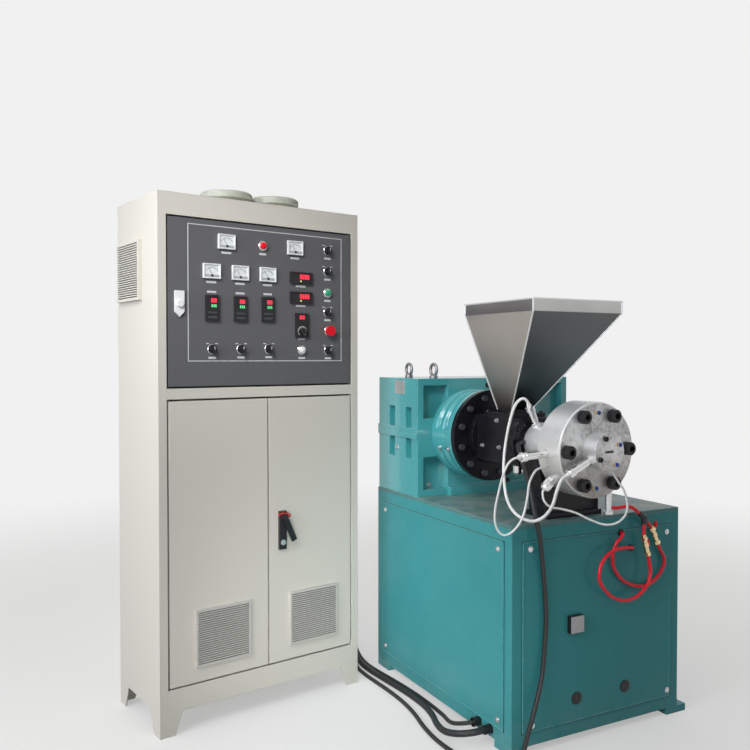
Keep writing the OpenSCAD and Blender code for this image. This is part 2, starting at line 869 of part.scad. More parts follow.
module barrel_support() {
  color(black)
    on_axis()
      difference() {
        union() {
          translate([0, 0, support_s])
            linear_extrude(height = support_len)
              polygon([[-support_l, -axis_rise], [support_r, -axis_rise],
                [support_r, -axis_rise + support_foot * 3],
                       [saddle_half, -band_r], [saddle_half, -band_r / 2], [-saddle_half, -band_r / 2],
                       [-saddle_half, -band_r], [-support_l, -axis_rise + support_foot * 3]]);
          translate([0, 0, support_s - support_foot])
            box([-support_l, -axis_rise, 0],
                [support_r, -axis_rise + support_foot, support_len + support_foot * 2]);
        }
        cylinder(h = nose_end, r = band_r + face_play);
      }
}

module coolant_pipe() {
  rise = axis_z - base_h - band_r / 2;
  color(light_steel)
    place()
      translate([axis_x + pipe_side, housing_y - barrel_end + pipe_back, base_h]) {
        cylinder(h = pipe_r, r = pipe_r * collar_share);
        cylinder(h = rise, r = pipe_r);
        translate([0, 0, rise])
          sphere(r = pipe_r);
        translate([0, 0, rise])
          rotate([0, -90, 0])
            cylinder(h = pipe_side - band_r, r = pipe_r);
      }
}

// Control cabinet
module cabinet_sides() {
  color(cabinet_white)
    on_cabinet()
      for (x = [0, cab_w - sheet_t])
        box([x, 0, leg_h], [x + sheet_t, cab_d, cab_h]);
}

module cabinet_back() {
  color(cabinet_white)
    on_cabinet()
      box([sheet_t, cab_d - sheet_t, leg_h], [cab_w - sheet_t, cab_d, cab_h - sheet_t]);
}

module roof_and_floor() {
  color(cabinet_white)
    on_cabinet() {
      box([sheet_t, 0, cab_h - sheet_t], [cab_w - sheet_t, cab_d, cab_h]);
      box([sheet_t, stile_d, leg_h], [cab_w - sheet_t, cab_d - sheet_t, leg_h + sheet_t]);
    }
}

module front_stiles() {
  color(cabinet_beige)
    on_cabinet()
      for (x = [sheet_t, cab_w - stile_w])
        box([x, 0, leg_h], [x + stile_w - sheet_t, stile_d, cab_h - sheet_t]);
}

module front_rails() {
  color(cabinet_beige)
    on_cabinet() {
      box([stile_w, 0, leg_h], [cab_w - stile_w, stile_d, low_z]);
      box([stile_w, 0, mid_rail_z], [cab_w - stile_w, stile_d, upper_z]);
      box([stile_w, 0, top_z], [cab_w - stile_w, stile_d, cab_h - sheet_t]);
    }
}

// A tapered foot plate, upright along X
module leg_plate() {
  rotate([90, 0, 0])
    linear_extrude(height = leg_t)
      polygon([[0, 0], [leg_low, 0], [leg_top, leg_h], [0, leg_h]]);
}

module cabinet_feet() {
  color(cabinet_beige)
    on_cabinet()
      for (side = [0, 1], back = [0, 1])
        translate([side * cab_w, back * cab_d, 0])
          mirror([side, 0, 0])
            mirror([0, back, 0]) {
              translate([0, leg_t, 0])
                leg_plate();
              rotate([0, 0, 90])
                leg_plate();
            }
}

module hinge_pins() {
  color(steel)
    on_cabinet()
      for (p = [[left_x0 + pin_in, low_z, 0], [left_x0 + pin_in, mid_rail_z, 1],
                [right_x1 - pin_in, low_z, 0], [right_x1 - pin_in, mid_rail_z, 1],
                [right_x1 - pin_in, upper_z, 0], [right_x1 - pin_in, top_z, 1]])
        translate([p[0], pin_back, p[1]])
          mirror([0, 0, p[2]])
            cylinder(h = door_gap + pin_reach, r = pin_r);
}

module roof_fans() {
  color(fan_cream)
    on_cabinet()
      for (x = [fan_x, fan_x + fan_gap])
        translate([x, cab_d / 2, cab_h]) {
          rotate_extrude()
            polygon([[0, 0], [fan_neck, 0], [fan_neck, fan_h - fan_brim - fan_wall],
                     [fan_r, fan_h - fan_brim], [fan_r, fan_h - fan_wall], [fan_r - fan_wall, fan_h],
                     [fan_neck - fan_wall, fan_h], [fan_neck - fan_wall, fan_wall], [0, fan_wall]]);
          cylinder(h = fan_h - fan_wall, r = fan_r / 3);
          for (turn = [0 : 45 : 135])
            rotate([0, 0, turn])
              box([-fan_r + fan_wall, -fan_wall / 2, fan_h - fan_wall],
                  [fan_r - fan_wall, fan_wall / 2, fan_h]);
          for (ring = [1 / 2, 3 / 4])
            translate([0, 0, fan_h - fan_wall])
              difference() {
                cylinder(h = fan_wall, r = fan_r * ring + fan_wall / 2);
                translate([0, 0, -fan_wall])
                  cylinder(h = fan_wall * 3, r = fan_r * ring - fan_wall / 2);
              }
        }
}

// A slotted cover that lies on the XY plane
module grille(w, h, out) {
  pitch = (h - grille_rim * 2) / grille_slots;
  difference() {
    cube([w, h, out]);
    for (i = [0 : grille_slots - 1])
      translate([grille_rim, grille_rim + i * pitch + pitch / 4, out / 2])
        cube([w - grille_rim * 2, pitch / 2, out]);
  }
}

module side_grille() {
  color(cabinet_white)
    on_cabinet()
      translate([0, side_grille_y + side_grille_w, side_grille_z])
        rotate([90, 0, -90])
          grille(side_grille_w, side_grille_w, side_grille_out);
}

// A gland round a cord, standing on the XY plane
module gland(r, out, bore) {
  difference() {
    union() {
      cylinder(h = out / 2, r = r, $fn = 6);
      cylinder(h = out, r = r * gland_share);
    }
    translate([0, 0, out / 4])
      cylinder(h = out, r = bore);
  }
}

module cable_glands() {
  color(black) {
    on_cabinet()
      for (y = [gland_y, gland_y + gland_gap, gland_y + gland_gap * 2])
        translate([cab_w, y, gland_z])
          rotate([0, 90, 0])
            gland(gland_r, gland_out, gland_bore);
    place() {
      for (y = [base_gland_y, base_gland_y + base_gland_gap])
        translate([0, y, base_gland_z])
          rotate([0, -90, 0])
            gland(base_gland_r, base_gland_out, gland_bore);
      for (p = port_places)
        translate([p[0], -panel_t, p[1]])
          rotate([90, 0, 0])
            difference() {
              cylinder(h = port_out, r = port_r);
              translate([0, 0, -port_out])
                cylinder(h = port_out * 3, r = hose_r + port_play);
            }
    }
  }
}

// A door pan with hinge blocks; hinge = 0 for the left edge, 1 for the right edge
module door_pan(x0, x1, z0, z1, hinge) {
  hinge_x = hinge == 0 ? x0 : x1 - block_w;
  pin_x = hinge == 0 ? x0 + pin_in : x1 - pin_in;
  difference() {
    union() {
      difference() {
        box([x0, 0, z0], [x1, door_d, z1]);
        box([x0 + door_t, door_t, z0 + door_t], [x1 - door_t, door_d * 2, z1 - door_t]);
      }
      for (z = [z0, z1 - block_h])
        box([hinge_x, 0, z], [hinge_x + block_w, door_d, z + block_h]);
    }
    for (z = [z0 - door_gap, z1 - pin_reach - door_t / 2])
      translate([pin_x, pin_back, z])
        cylinder(h = door_gap + pin_reach + door_t / 2, r = pin_r + pin_play);
  }
}

module instrument_door() {
  color(panel_grey)
    on_cabinet()
      door_pan(upper_x0, right_x1, upper_z0, upper_z1, 1);
}

module left_door() {
  color(cabinet_beige)
    on_cabinet()
      door_pan(left_x0, left_x1, low_z0, low_z1, 0);
}

module right_door() {
  color(cabinet_beige)
    on_cabinet()
      door_pan(right_x0, right_x1, low_z0, low_z1, 1);
}

module left_grille() {
  color(cabinet_beige)
    on_front((left_x0 + left_x1 - grille_w) / 2 + grille_shift, grille_z)
      grille(grille_w, grille_h, grille_out);
}

module right_grille() {
  color(cabinet_beige)
    on_front((right_x0 + right_x1 - grille_w) / 2 + grille_shift, grille_z)
      grille(grille_w, grille_h, grille_out);
}

module door_handle() {
  color(black)
    on_front(right_x0 + handle_in, low_z0 + (low_z1 - low_z0) * handle_share - handle_h / 2) {
      box([0, 0, 0], [handle_w, handle_h, handle_t]);
      translate([handle_w / 2, handle_h - handle_w / 2, 0])
        cylinder(h = handle_t * 2, r = handle_w / 2);
      translate([handle_w / 2, handle_h - handle_w / 2, handle_t])
        rotate([0, 0, handle_lift])
          box([-handle_w / 3, -handle_h * 3 / 4, 0], [handle_w / 3, 0, handle_t]);
    }
}

module panel_lock() {
  color(plate_grey)
    on_front(upper_x0 + lock_in, upper_z0 + (upper_z1 - upper_z0) * lock_share - lock_h / 2) {
      linear_extrude(height = lock_t)
        polygon([[0, lock_w / 2], [lock_w / 2, 0], [lock_w, lock_w / 2], [lock_w, lock_h], [0, lock_h]]);
      translate([lock_w / 2, lock_h / 2, 0])
        cylinder(h = lock_t * 2, r = lock_w / 3);
    }
}

// Instruments on the panel; a case is centred on its place
module case(w, h, out) {
  difference() {
    translate([-w / 2, -h / 2, 0])
      cube([w, h, out]);
    translate([-w / 2 + bezel_w, -h / 2 + bezel_w, out - window_d])
      cube([w - bezel_w * 2, h - bezel_w * 2, out]);
  }
}

module meters() {
  color(meter_white)
    for (p = meter_shares)
      on_panel(p)
        case(meter_w, meter_h, bezel_out);
}

module temperature_controllers() {
  color(black)
    for (p = controller_shares)
      on_panel(p)
        case(controller_w, controller_h, bezel_out);
}

module digital_displays() {
  color(dark_grey) {
    for (p = display_shares)
      on_panel(p)
        case(display_w, display_h, bezel_out);
    for (p = drive_shares)
      on_panel(p) {
        case(drive_w, drive_h, bezel_out);
        translate([0, -drive_h / 4, 0])
          cylinder(h = bezel_out * 2, r = knob_r);
      }
  }
}

module selector_knobs() {
  color(black)
    for (p = knob_shares)
      on_panel(p) {
        cylinder(h = collar_out, r = collar_r);
        cylinder(h = collar_out + knob_out / 2, r = knob_r);
        translate([-knob_r / 3, -knob_r, 0])
          cube([knob_r * 2 / 3, knob_r * 2, collar_out + knob_out]);
      }
}

module push_buttons() {
  color(plate_grey)
    for (p = button_shares)
      on_panel(p) {
        cylinder(h = collar_out, r = collar_r);
        cylinder(h = collar_out + button_out, r = button_r);
      }
}

module emergency_stop() {
  color(signal_red)
    on_panel(stop_shares[0]) {
      cylinder(h = collar_out, r = collar_r);
      cylinder(h = collar_out + knob_out, r = button_r);
      translate([0, 0, collar_out + knob_out / 2])
        cylinder(h = knob_out / 2, r = stop_r);
    }
}

// Cords: a round tube along a smooth line through the places of a route
function unit(a) = a / norm(a);

function between(q, i, t) =
  let (a = q[max(i - 1, 0)], b = q[i], c = q[min(i + 1, len(q) - 1)], d = q[min(i + 2, len(q) - 1)])
  (b * 2 + (c - a) * t + (a * 2 - b * 5 + c * 4 - d) * t ^ 2 + (b * 3 - a - c * 3 + d) * t ^ 3) / 2;

function smooth(q) =
  concat([for (i = [0 : len(q) - 2], k = [0 : cord_steps - 1]) between(q, i, k / cord_steps)],
         [q[len(q) - 1]]);

function heading(q, i) = unit(q[min(i + 1, len(q) - 1)] - q[max(i - 1, 0)]);

function across(n, t) = unit(n - t * (n * t));

function carried(q, i, n) =
  i == len(q) ? [] :
  let (m = across(n, heading(q, i))) concat([m], carried(q, i + 1, m));

module cord(route, r) {
  line = smooth(route);
  sides = carried(line, 0, first_side);
  last = len(line) - 1;
  n = cord_sides;
  polyhedron(
    points = [for (i = [0 : last], k = [0 : n - 1])
      let (up = cross(heading(line, i), sides[i]), w = 360 * k / n)
      line[i] + (sides[i] * cos(w) + up * sin(w)) * r],
    faces = concat(
      [[for (k = [0 : n - 1]) k], [for (k = [n - 1 : -1 : 0]) last * n + k]],
      [for (i = [0 : last - 1], k = [0 : n - 1])
        let (m = (k + 1) % n)
        [i * n + k, (i + 1) * n + k, (i + 1) * n + m, i * n + m]]));
}

module heater_cable() {
  color(black)
    place()
      cord(heater_cable_route, cable_r);
}

module motor_cable() {
  color(black)
    place()
      cord(motor_cable_route, motor_cable_r);
}

module control_cable() {
  color(black)
    place()
      cord(control_cable_route, control_cable_r);
}

module loop_lead() {
  color(sleeve_white)
    place()
      cord(loop_lead_route, loop_lead_r);
}

module side_lead() {
  color(sleeve_white)
    place()
      cord(side_lead_route, lead_r);
}

module front_lead() {
  color(sleeve_white)
    place()
      cord(front_lead_route, lead_r);
}

module supply_hose() {
  color(signal_red)
    place()
      cord(supply_hose_route, hose_r);
}

module left_hose() {
  color(signal_red)
    place()
      cord(left_hose_route, hose_r);
}

module right_hose() {
  color(signal_red)
    place()
      cord(right_hose_route, hose_r);
}

// A round rod between two places
module rod(a, b, r) {
  d = b - a;
  translate(a)
    rotate([0, acos(d[2] / norm(d)), atan2(d[1], d[0])])
      cylinder(h = norm(d), r = r);
}

module hose_fittings() {
  color(brass)
    place() {
      rod(tee_in, tee_out, tee_r);
      rod(tee_out, left_stub, tee_r);
      rod(left_stub, left_brass, tee_r);
      rod(tee_out, right_stub, tee_r);
      rod(right_stub, right_brass, tee_r);
      for (p = [tee_out, left_stub, right_stub])
        translate(p)
          sphere(r = nut_r);
    }
}

base_posts();
base_rails();
anchor_feet();
deck_plate();
front_panel();
cover_panels();
panel_latch();
gear_housing_lower();
gear_housing_upper();
lifting_eyes();
output_boss();
flange_disc();
flange_bolts();
feed_block();
hopper_seat();
hopper_side_walls();
hopper_end_walls();
barrel();
heater_band();
heater_plugs();
die_drum();
die_nose();
die_bolts();
barrel_support();
coolant_pipe();
cabinet_sides();
cabinet_back();
roof_and_floor();
front_stiles();
front_rails();
cabinet_feet();
hinge_pins();
roof_fans();
side_grille();
cable_glands();
instrument_door();
panel_lock();
meters();
temperature_controllers();
digital_displays();
selector_knobs();
push_buttons();
emergency_stop();
left_door();
left_grille();
right_door();
right_grille();
door_handle();
heater_cable();
motor_cable();
control_cable();
loop_lead();
side_lead();
front_lead();
supply_hose();
left_hose();
right_hose();
hose_fittings();
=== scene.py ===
# %% [markdown]
# # A strip extruder and its control cabinet
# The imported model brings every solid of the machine, already in its place and in metres.
# This lesson gives the solids their finishes, lays the cables, and adds the small things
# that a drawing leaves out: screws, weld beads, dials, lamps and printed lines.

# %% Load the solids
import math
from functools import partialmethod

import bmesh
import bpy
from mathutils import Matrix, Vector
from mathutils.bvhtree import BVHTree


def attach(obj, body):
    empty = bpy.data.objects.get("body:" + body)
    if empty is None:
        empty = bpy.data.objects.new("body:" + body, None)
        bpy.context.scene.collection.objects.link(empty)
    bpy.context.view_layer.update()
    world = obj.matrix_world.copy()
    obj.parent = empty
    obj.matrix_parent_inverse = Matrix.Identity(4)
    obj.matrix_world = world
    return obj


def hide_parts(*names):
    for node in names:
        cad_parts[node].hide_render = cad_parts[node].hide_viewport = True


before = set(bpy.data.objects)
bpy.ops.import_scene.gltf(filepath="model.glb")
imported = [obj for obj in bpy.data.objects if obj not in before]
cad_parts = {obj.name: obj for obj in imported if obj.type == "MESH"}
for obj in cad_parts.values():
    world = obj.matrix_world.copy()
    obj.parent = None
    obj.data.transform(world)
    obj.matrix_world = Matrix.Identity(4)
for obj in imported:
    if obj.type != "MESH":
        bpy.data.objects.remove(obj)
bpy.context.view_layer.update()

# %% [markdown]
# The machine was drawn in millimetres in two frames: the extruder's, from the front left
# corner of its base, and the cabinet's, from its own front left corner and turned a little.
# One matrix for each frame takes a drawn point to the scene, so every detail can be written
# with the numbers that a maker would read off the drawing.

# %% Two drawing frames
MM = 0.001
PLAN_MID = Vector((-125.489, 474.227, 0))
CABINET_CORNER = Vector((-948, 632, 0))
CABINET_TURN = math.radians(9.2)
MACHINE = Matrix.Scale(MM, 4) @ Matrix.Translation(-PLAN_MID)
CABINET = MACHINE @ Matrix.Translation(CABINET_CORNER) @ Matrix.Rotation(CABINET_TURN, 4, "Z")
AXIS_X, AXIS_Z = 230, 969  # the barrel's axis
BASE_W, BASE_D, PANEL_T = 724, 896, 3
CAB_W, CAB_D, CAB_H, CAB_FEET = 796, 374, 1800, 78
FRONT, REAR, LEFT, RIGHT = (0, -1, 0), (0, 1, 0), (-1, 0, 0), (1, 0, 0)
UP, DOWN = (0, 0, 1), (0, 0, -1)
print("cabinet corner at", [round(v, 3) for v in CABINET.translation])

# %% [markdown]
# ## Camera and studio
# The camera stands where the photographer stood, a little below the cabinet's panel and to
# the left. Standard colour keeps each paint as it is written.

# %% Camera
scene = bpy.context.scene
scene.view_settings.view_transform = "Standard"
EYE_PLACE = (-1.4122, -2.5040, 1.2554)
EYE_LOOK = Vector((0.4616, 0.8871, -math.tan(math.radians(1.21))))
EYE_LENS, EYE_SENSOR = 38.86, 36


def put(name, data, place=(0, 0, 0), look=None):
    """Puts an object in the scene. A camera or a lamp also gets the way it looks."""
    made = bpy.data.objects.new(name, data)
    made.location = place
    if look:
        made.rotation_euler = look.to_track_quat("-Z", "Y").to_euler()
    scene.collection.objects.link(made)
    return made


eye = bpy.data.cameras.new("photo_eye")
eye.lens, eye.sensor_width = EYE_LENS, EYE_SENSOR
scene.camera = put("photo_eye", eye, EYE_PLACE, EYE_LOOK)
print("camera at", EYE_PLACE)

# %% [markdown]
# Every node tree below is put together with a few helpers. A node is made with its switches
# set and its inputs filled, each with a value or with a wire from another node. A wire leads
# on into the next node, and it can be reckoned with as a number can.

# %% Wires
class Wire:
    """One output of a node, and what comes of it."""

    def __init__(self, socket):
        self.socket, self.tree = socket, socket.id_data

    def into(self, kind, inputs, out=0, **switches):
        """Leads into the first input of a new node and gives one of its outputs."""
        return wire(self.tree, kind, {0: self, **inputs}, out, **switches)

    def math(self, operation, *terms, **switches):
        return self.into("ShaderNodeMath", dict(enumerate(terms, 1)), operation=operation, **switches)

    __add__ = partialmethod(math, "ADD")
    __sub__ = partialmethod(math, "SUBTRACT")
    __mul__ = partialmethod(math, "MULTIPLY")
    __truediv__ = partialmethod(math, "DIVIDE")
    at_least = partialmethod(math, "MAXIMUM")

    def spread(self, low, high, to_low=0.0, to_high=1.0, **switches):
        """One range brought to another."""
        return self.into("ShaderNodeMapRange", {1: low, 2: high, 3: to_low, 4: to_high}, **switches)

    def vector_math(self, operation, other=(0, 0, 0)):
        out = "Value" if operation in ("DOT_PRODUCT", "LENGTH") else "Vector"
        return self.into("ShaderNodeVectorMath", {1: other}, out, operation=operation)

    def parts(self):
        return wires(self.tree, "ShaderNodeSeparateXYZ", {0: self}).values()

    def noise(self, scale, detail, rough=0.5):
        return self.into("ShaderNodeTexNoise", {"Scale": scale, "Detail": detail, "Roughness": rough})

    def mix(self, first, second):
        """Two colours mixed by this factor. Inputs 6 and 7 and output 2 are the node's colours."""
        return self.into("ShaderNodeMix", {6: first, 7: second}, 2, data_type="RGBA")

    def dim(self, colour):
        """A colour times this number."""
        grey = self.into("ShaderNodeCombineColor", {1: self, 2: self})
        inputs = {0: 1.0, 6: colour, 7: grey}
        return wire(self.tree, "ShaderNodeMix", inputs, 2, data_type="RGBA", blend_type="MULTIPLY")


# %% Nodes
def fill(node, inputs):
    """Fills inputs, by name or number, with values or wires."""
    for key, value in inputs.items():
        if isinstance(value, Wire):
            node.id_data.links.new(value.socket, node.inputs[key])
        else:
            node.inputs[key].default_value = value
    return node


def add(tree, kind, inputs=None, **switches):
    """Makes a node, sets its switches and fills its inputs."""
    made = tree.nodes.new(kind)
    for key, value in switches.items():
        setattr(made, key, value)
    return fill(made, inputs or {})


def wire(tree, kind, inputs=None, out=0, **switches):
    """Makes a node and gives one of its outputs, by name or number."""
    return Wire(add(tree, kind, inputs, **switches).outputs[out])


def wires(tree, kind, inputs=None, **switches):
    """Makes a node and gives all its outputs by name."""
    return {s.name: Wire(s) for s in add(tree, kind, inputs, **switches).outputs}


def vector(tree, x=0.0, y=0.0, z=0.0):
    return wire(tree, "ShaderNodeCombineXYZ", {0: x, 1: y, 2: z})


def here(tree):
    """Where a point is."""
    return wire(tree, "ShaderNodeTexCoord", out="Object")


def facing(tree):
    """Which way its face looks."""
    return wire(tree, "ShaderNodeNewGeometry", out="Normal")


def rays(tree):
    """Whether a ray comes from the camera, from a glossy face or through glass."""
    path = wires(tree, "ShaderNodeLightPath")
    return [path[f"Is {kind} Ray"] for kind in ("Camera", "Glossy", "Transmission")]


# %% [markdown]
# The photo was taken in a white studio with the light from the left. The world is therefore
# brightest on the left and overhead and dimmer behind the camera, which is what gives bare
# metal its light and dark bands. Camera rays see a plain pale backdrop instead, and metal
# sees a part of it.

# %% World
WHITE = (1, 1, 1, 1)
BACKDROP = 0.88
AMBIENT, FROM_ABOVE, FROM_LEFT, FROM_BACK, DARK_FRONT = 0.14, 0.48, 0.52, 0.25, 0.14
METAL_SEES = 0.65
world = bpy.data.worlds.new("studio")
scene.world = world
world.use_nodes = True
sky = world.node_tree
sky.nodes.clear()
x, y, z = wire(sky, "ShaderNodeTexCoord", out="Generated").parts()
glow = z.at_least(0) * FROM_ABOVE + (x * -1).at_least(0) * FROM_LEFT + y.at_least(0) * FROM_BACK
glow = glow - (y * -1).at_least(0) * DARK_FRONT + AMBIENT
camera_ray, glossy_ray, glass_ray = rays(sky)
seen = camera_ray.math("ADD", glossy_ray * METAL_SEES + glass_ray, use_clamp=True)
level = wire(sky, "ShaderNodeMix", {0: seen, 2: glow, 3: BACKDROP}, data_type="FLOAT")
light = wire(sky, "ShaderNodeBackground", {"Color": WHITE, "Strength": level})
add(sky, "ShaderNodeOutputWorld", {"Surface": light})
print("world nodes:", len(sky.nodes))

# %% [markdown]
# One large soft lamp stands on the left, just in front of the extruder's face, so that it
# reaches the cabinet's front and the base's left side but leaves the base's front in shade.
# Two smaller ones with narrow beams fill in the cabinet: one its panel from above, the other
# its doors from low in front.

# %% Lamps
COOL, NEUTRAL = (0.885, 0.93, 1.0), (1.0, 1.0, 1.0)
LAMPS = {  # place, aim, size in metres, power in watts, beam in degrees, colour
    "key": ((-3.05, -0.95, 1.7), (0.1, 0.0, 0.7), 1.4, 48, 180, COOL),
    "panel_fill": ((-1.7, -1.3, 2.7), (-0.35, 0.2, 1.35), 0.7, 4.2, 50, NEUTRAL),
    "door_fill": ((-1.3, -2.1, 0.6), (-0.1, 0.3, 0.2), 0.5, 1.9, 38, NEUTRAL),
}
for name, (place, aim, size, power, beam, colour) in LAMPS.items():
    lamp = bpy.data.lights.new(name, "AREA")
    lamp.shape, lamp.size, lamp.energy, lamp.spread = "SQUARE", size, power, math.radians(beam)
    lamp.color = colour
    put(name, lamp, place, Vector(aim) - Vector(place))
    print("lamp", name, power, "W")

# %% [markdown]
# The floor is a wide pale disc. Near the machine it takes light shadows, as a lit studio floor
# does; far away it fades into the backdrop, so that no horizon shows. It throws back less
# light than the camera sees, as the floor of a darker workshop would.

# %% Floor
FLOOR_R = 16
FLOOR_COLOUR = (0.825, 0.805, 0.78, 1)
FLOOR_BOUNCE = (0.30, 0.30, 0.30, 1)
FADE_FROM, FADE_TO, FADE_LEAST = 1.6, 5.5, 0.45
finishes = {}


def material(name):
    """A new material's tree and its Principled shader."""
    made = finishes[name] = bpy.data.materials.new(name)
    made.use_nodes = True
    return made.node_tree, made.node_tree.nodes["Principled BSDF"]


disc = bmesh.new()
bmesh.ops.create_circle(disc, cap_ends=True, segments=96, radius=FLOOR_R)
floor_mesh = bpy.data.meshes.new("floor")
disc.to_mesh(floor_mesh)
disc.free()
floor = put("floor", floor_mesh)
tree, matt = material("pale_floor")
camera_ray, glossy_ray, glass_ray = rays(tree)
seen = camera_ray.at_least(glossy_ray.at_least(glass_ray))
reach = here(tree).vector_math("LENGTH")
fade = reach.spread(FADE_FROM, FADE_TO, FADE_LEAST, interpolation_type="SMOOTHSTEP") * seen
fill(matt, {"Base Color": seen.mix(FLOOR_BOUNCE, FLOOR_COLOUR), "Roughness": 0.9, "Specular IOR Level": 0.1})
white = wire(tree, "ShaderNodeEmission", {"Color": WHITE, "Strength": BACKDROP})
both = wire(tree, "ShaderNodeMixShader", {0: fade, 1: Wire(matt.outputs[0]), 2: white})
fill(tree.nodes["Material Output"], {"Surface": both})
floor_mesh.materials.append(finishes["pale_floor"])
print("floor radius", FLOOR_R)

# %% [markdown]
# ## Finishes
# Paint on a factory machine is never one flat colour. Four effects come back in most
# finishes, so each is a node group with its own inputs: blotches in the tone, wear along the
# edges, dust on what faces up, and the fine grain of a sprayed, brushed or turned surface.

# %% Group maker
GREY = (0.5, 0.5, 0.5, 1.0)
KINDS = {tuple: "Color", float: "Float", int: "Int"}


def new_tree(kind, name, inputs, outputs):
    """An empty node tree. inputs maps a socket's name to its value or its kind, outputs to a
    kind. Gives the tree, the inputs' wires by name, and the node that takes the outputs."""
    made = bpy.data.node_groups.new(name, kind + "NodeTree")
    for label, value in inputs.items():
        named = isinstance(value, str)
        sort = "NodeSocket" + (value if named else KINDS[type(value)])
        socket = made.interface.new_socket(label, in_out="INPUT", socket_type=sort)
        if not named:
            socket.default_value = value
    for label, sort in outputs.items():
        made.interface.new_socket(label, in_out="OUTPUT", socket_type="NodeSocket" + sort)
    return made, wires(made, "NodeGroupInput"), add(made, "NodeGroupOutput")


def group(name, inputs, **outputs):
    print("group", name)
    return new_tree("Shader", name, inputs, outputs)


# %% Blotches
# Cloudy changes of tone, as sprayed paint and handled metal have.
blotches, given, gives = group("blotches", {"Colour": GREY, "Scale": 3.0, "Contrast": 0.1},
                               Colour="Color", Noise="Float")
cloud = here(blotches).noise(given["Scale"], 5.0, 0.6)
gain = (cloud - 0.5) * given["Contrast"] * 2.0 + 1.0
fill(gives, {"Colour": gain.dim(given["Colour"]), "Noise": cloud})

# %% Edge wear
# The Bevel node looks round each point for a nearby edge. Where its normal departs from the
# face's own, the paint is rubbed thin, and the edge catches the light as a rounded one does.
edge_wear, given, gives = group("edge_wear", {"Colour": GREY, "Worn": GREY, "Width": 0.002, "Amount": 0.5},
                                Colour="Color", Normal="Vector")
rounded = wire(edge_wear, "ShaderNodeBevel", {"Radius": given["Width"]}, samples=4)
agree = rounded.vector_math("DOT_PRODUCT", facing(edge_wear))
chips = here(edge_wear).noise(55.0, 4.0)
rubbed = agree.spread(0.99, 0.80) * chips.spread(0.38, 0.66) * given["Amount"]
fill(gives, {"Colour": rubbed.mix(given["Colour"], given["Worn"]), "Normal": rounded})

# %% Dust
# Dust settles on what faces up, and a little splashes on what is near the floor.
dust, given, gives = group("dust", {"Colour": GREY, "Dust": (0.42, 0.40, 0.36, 1.0), "Amount": 0.3},
                           Colour="Color")
*_, upward = facing(dust).parts()
*_, height = here(dust).parts()
specks = here(dust).noise(14.0, 6.0, 0.7)
lies = upward.spread(0.4, 0.95).at_least(height.spread(0.20, 0.0, 0.0, 0.55))
settled = lies * specks.spread(0.35, 0.75) * given["Amount"]
fill(gives, {"Colour": settled.mix(given["Colour"], given["Dust"])})

# %% Grain
# The same noise serves for every grain. Its place is drawn out along X, Y or Z for brushed
# sheet, and it is wound round the barrel's axis for turned steel.
grain, given, gives = group("grain", {"X": 800.0, "Y": 800.0, "Z": 800.0}, Value="Float")
factors = vector(grain, given["X"], given["Y"], given["Z"])
drawn = here(grain).vector_math("MULTIPLY", factors)
fill(gives, {"Value": drawn.noise(1.0, 3.0, 0.55)})

turned, given, gives = group("turned", {"Scale": 620.0}, Value="Float")
WINDING = 0.004  # a small share of the angle, so that the lines run round
axis = MACHINE @ Vector((AXIS_X, 0, AXIS_Z))
x, y, z = here(turned).vector_math("SUBTRACT", axis).parts()
wound = vector(turned, (x * x + z * z).math("SQRT"), y, z.math("ARCTAN2", x) * WINDING)
fill(gives, {"Value": wound.noise(given["Scale"], 3.0)})

# %% Stains
# Hot compound has stained the die's front face in cloudy brown patches.
stains, given, gives = group("stains", {"Colour": GREY, "Stain": (0.14, 0.13, 0.12, 1.0), "Amount": 0.5},
                             Colour="Color")
ahead = facing(stains).vector_math("DOT_PRODUCT", FRONT)
cloudy = here(stains).noise(10.0, 8.0, 0.66).spread(0.28, 0.58)
speckled = here(stains).noise(90.0, 4.0, 0.6).spread(0.35, 0.7, 0.45, 1.0)
held = cloudy * speckled * ahead.spread(0.6, 0.95, 0.06, 1.0) * given["Amount"]
fill(gives, {"Colour": held.mix(given["Colour"], given["Stain"])})

# %% [markdown]
# A finish is then a base colour sent through those groups into one Principled shader. The
# grain feeds the bump and the roughness, and the rounded normal of the worn edge goes in
# under the bump, so that an edge shines without any change to the solid.

# %% Finish maker
GRAIN_DEPTH, WEAVE_DEPTH = 0.0006, 0.0008
LEAST_ROUGH, CORD_SWING = 0.03, 0.08
GRAIN_SHARE = 0.6
TURNED = "turned"


def use(tree, what, **inputs):
    """Places a shared group in a material."""
    return wires(tree, "ShaderNodeGroup", inputs, node_tree=what)


def by_height(tree, stops):
    """A colour that changes with height: stops are pairs of height in metres and colour."""
    *_, height = here(tree).parts()
    low, high = stops[0][0], stops[-1][0]
    ramp = add(tree, "ShaderNodeValToRGB", {0: height.spread(low, high)})
    marks = ramp.color_ramp.elements
    while len(marks) < len(stops):
        marks.new(1.0)
    for mark, (z, colour) in zip(marks, stops):
        mark.position, mark.color = (z - low) / (high - low), (*colour, 1.0)
    return Wire(ramp.outputs[0])


def uneven(shade, rough, swing):
    """A roughness that follows a noise."""
    return shade.spread(0.25, 0.75, max(LEAST_ROUGH, rough - swing), rough + swing)


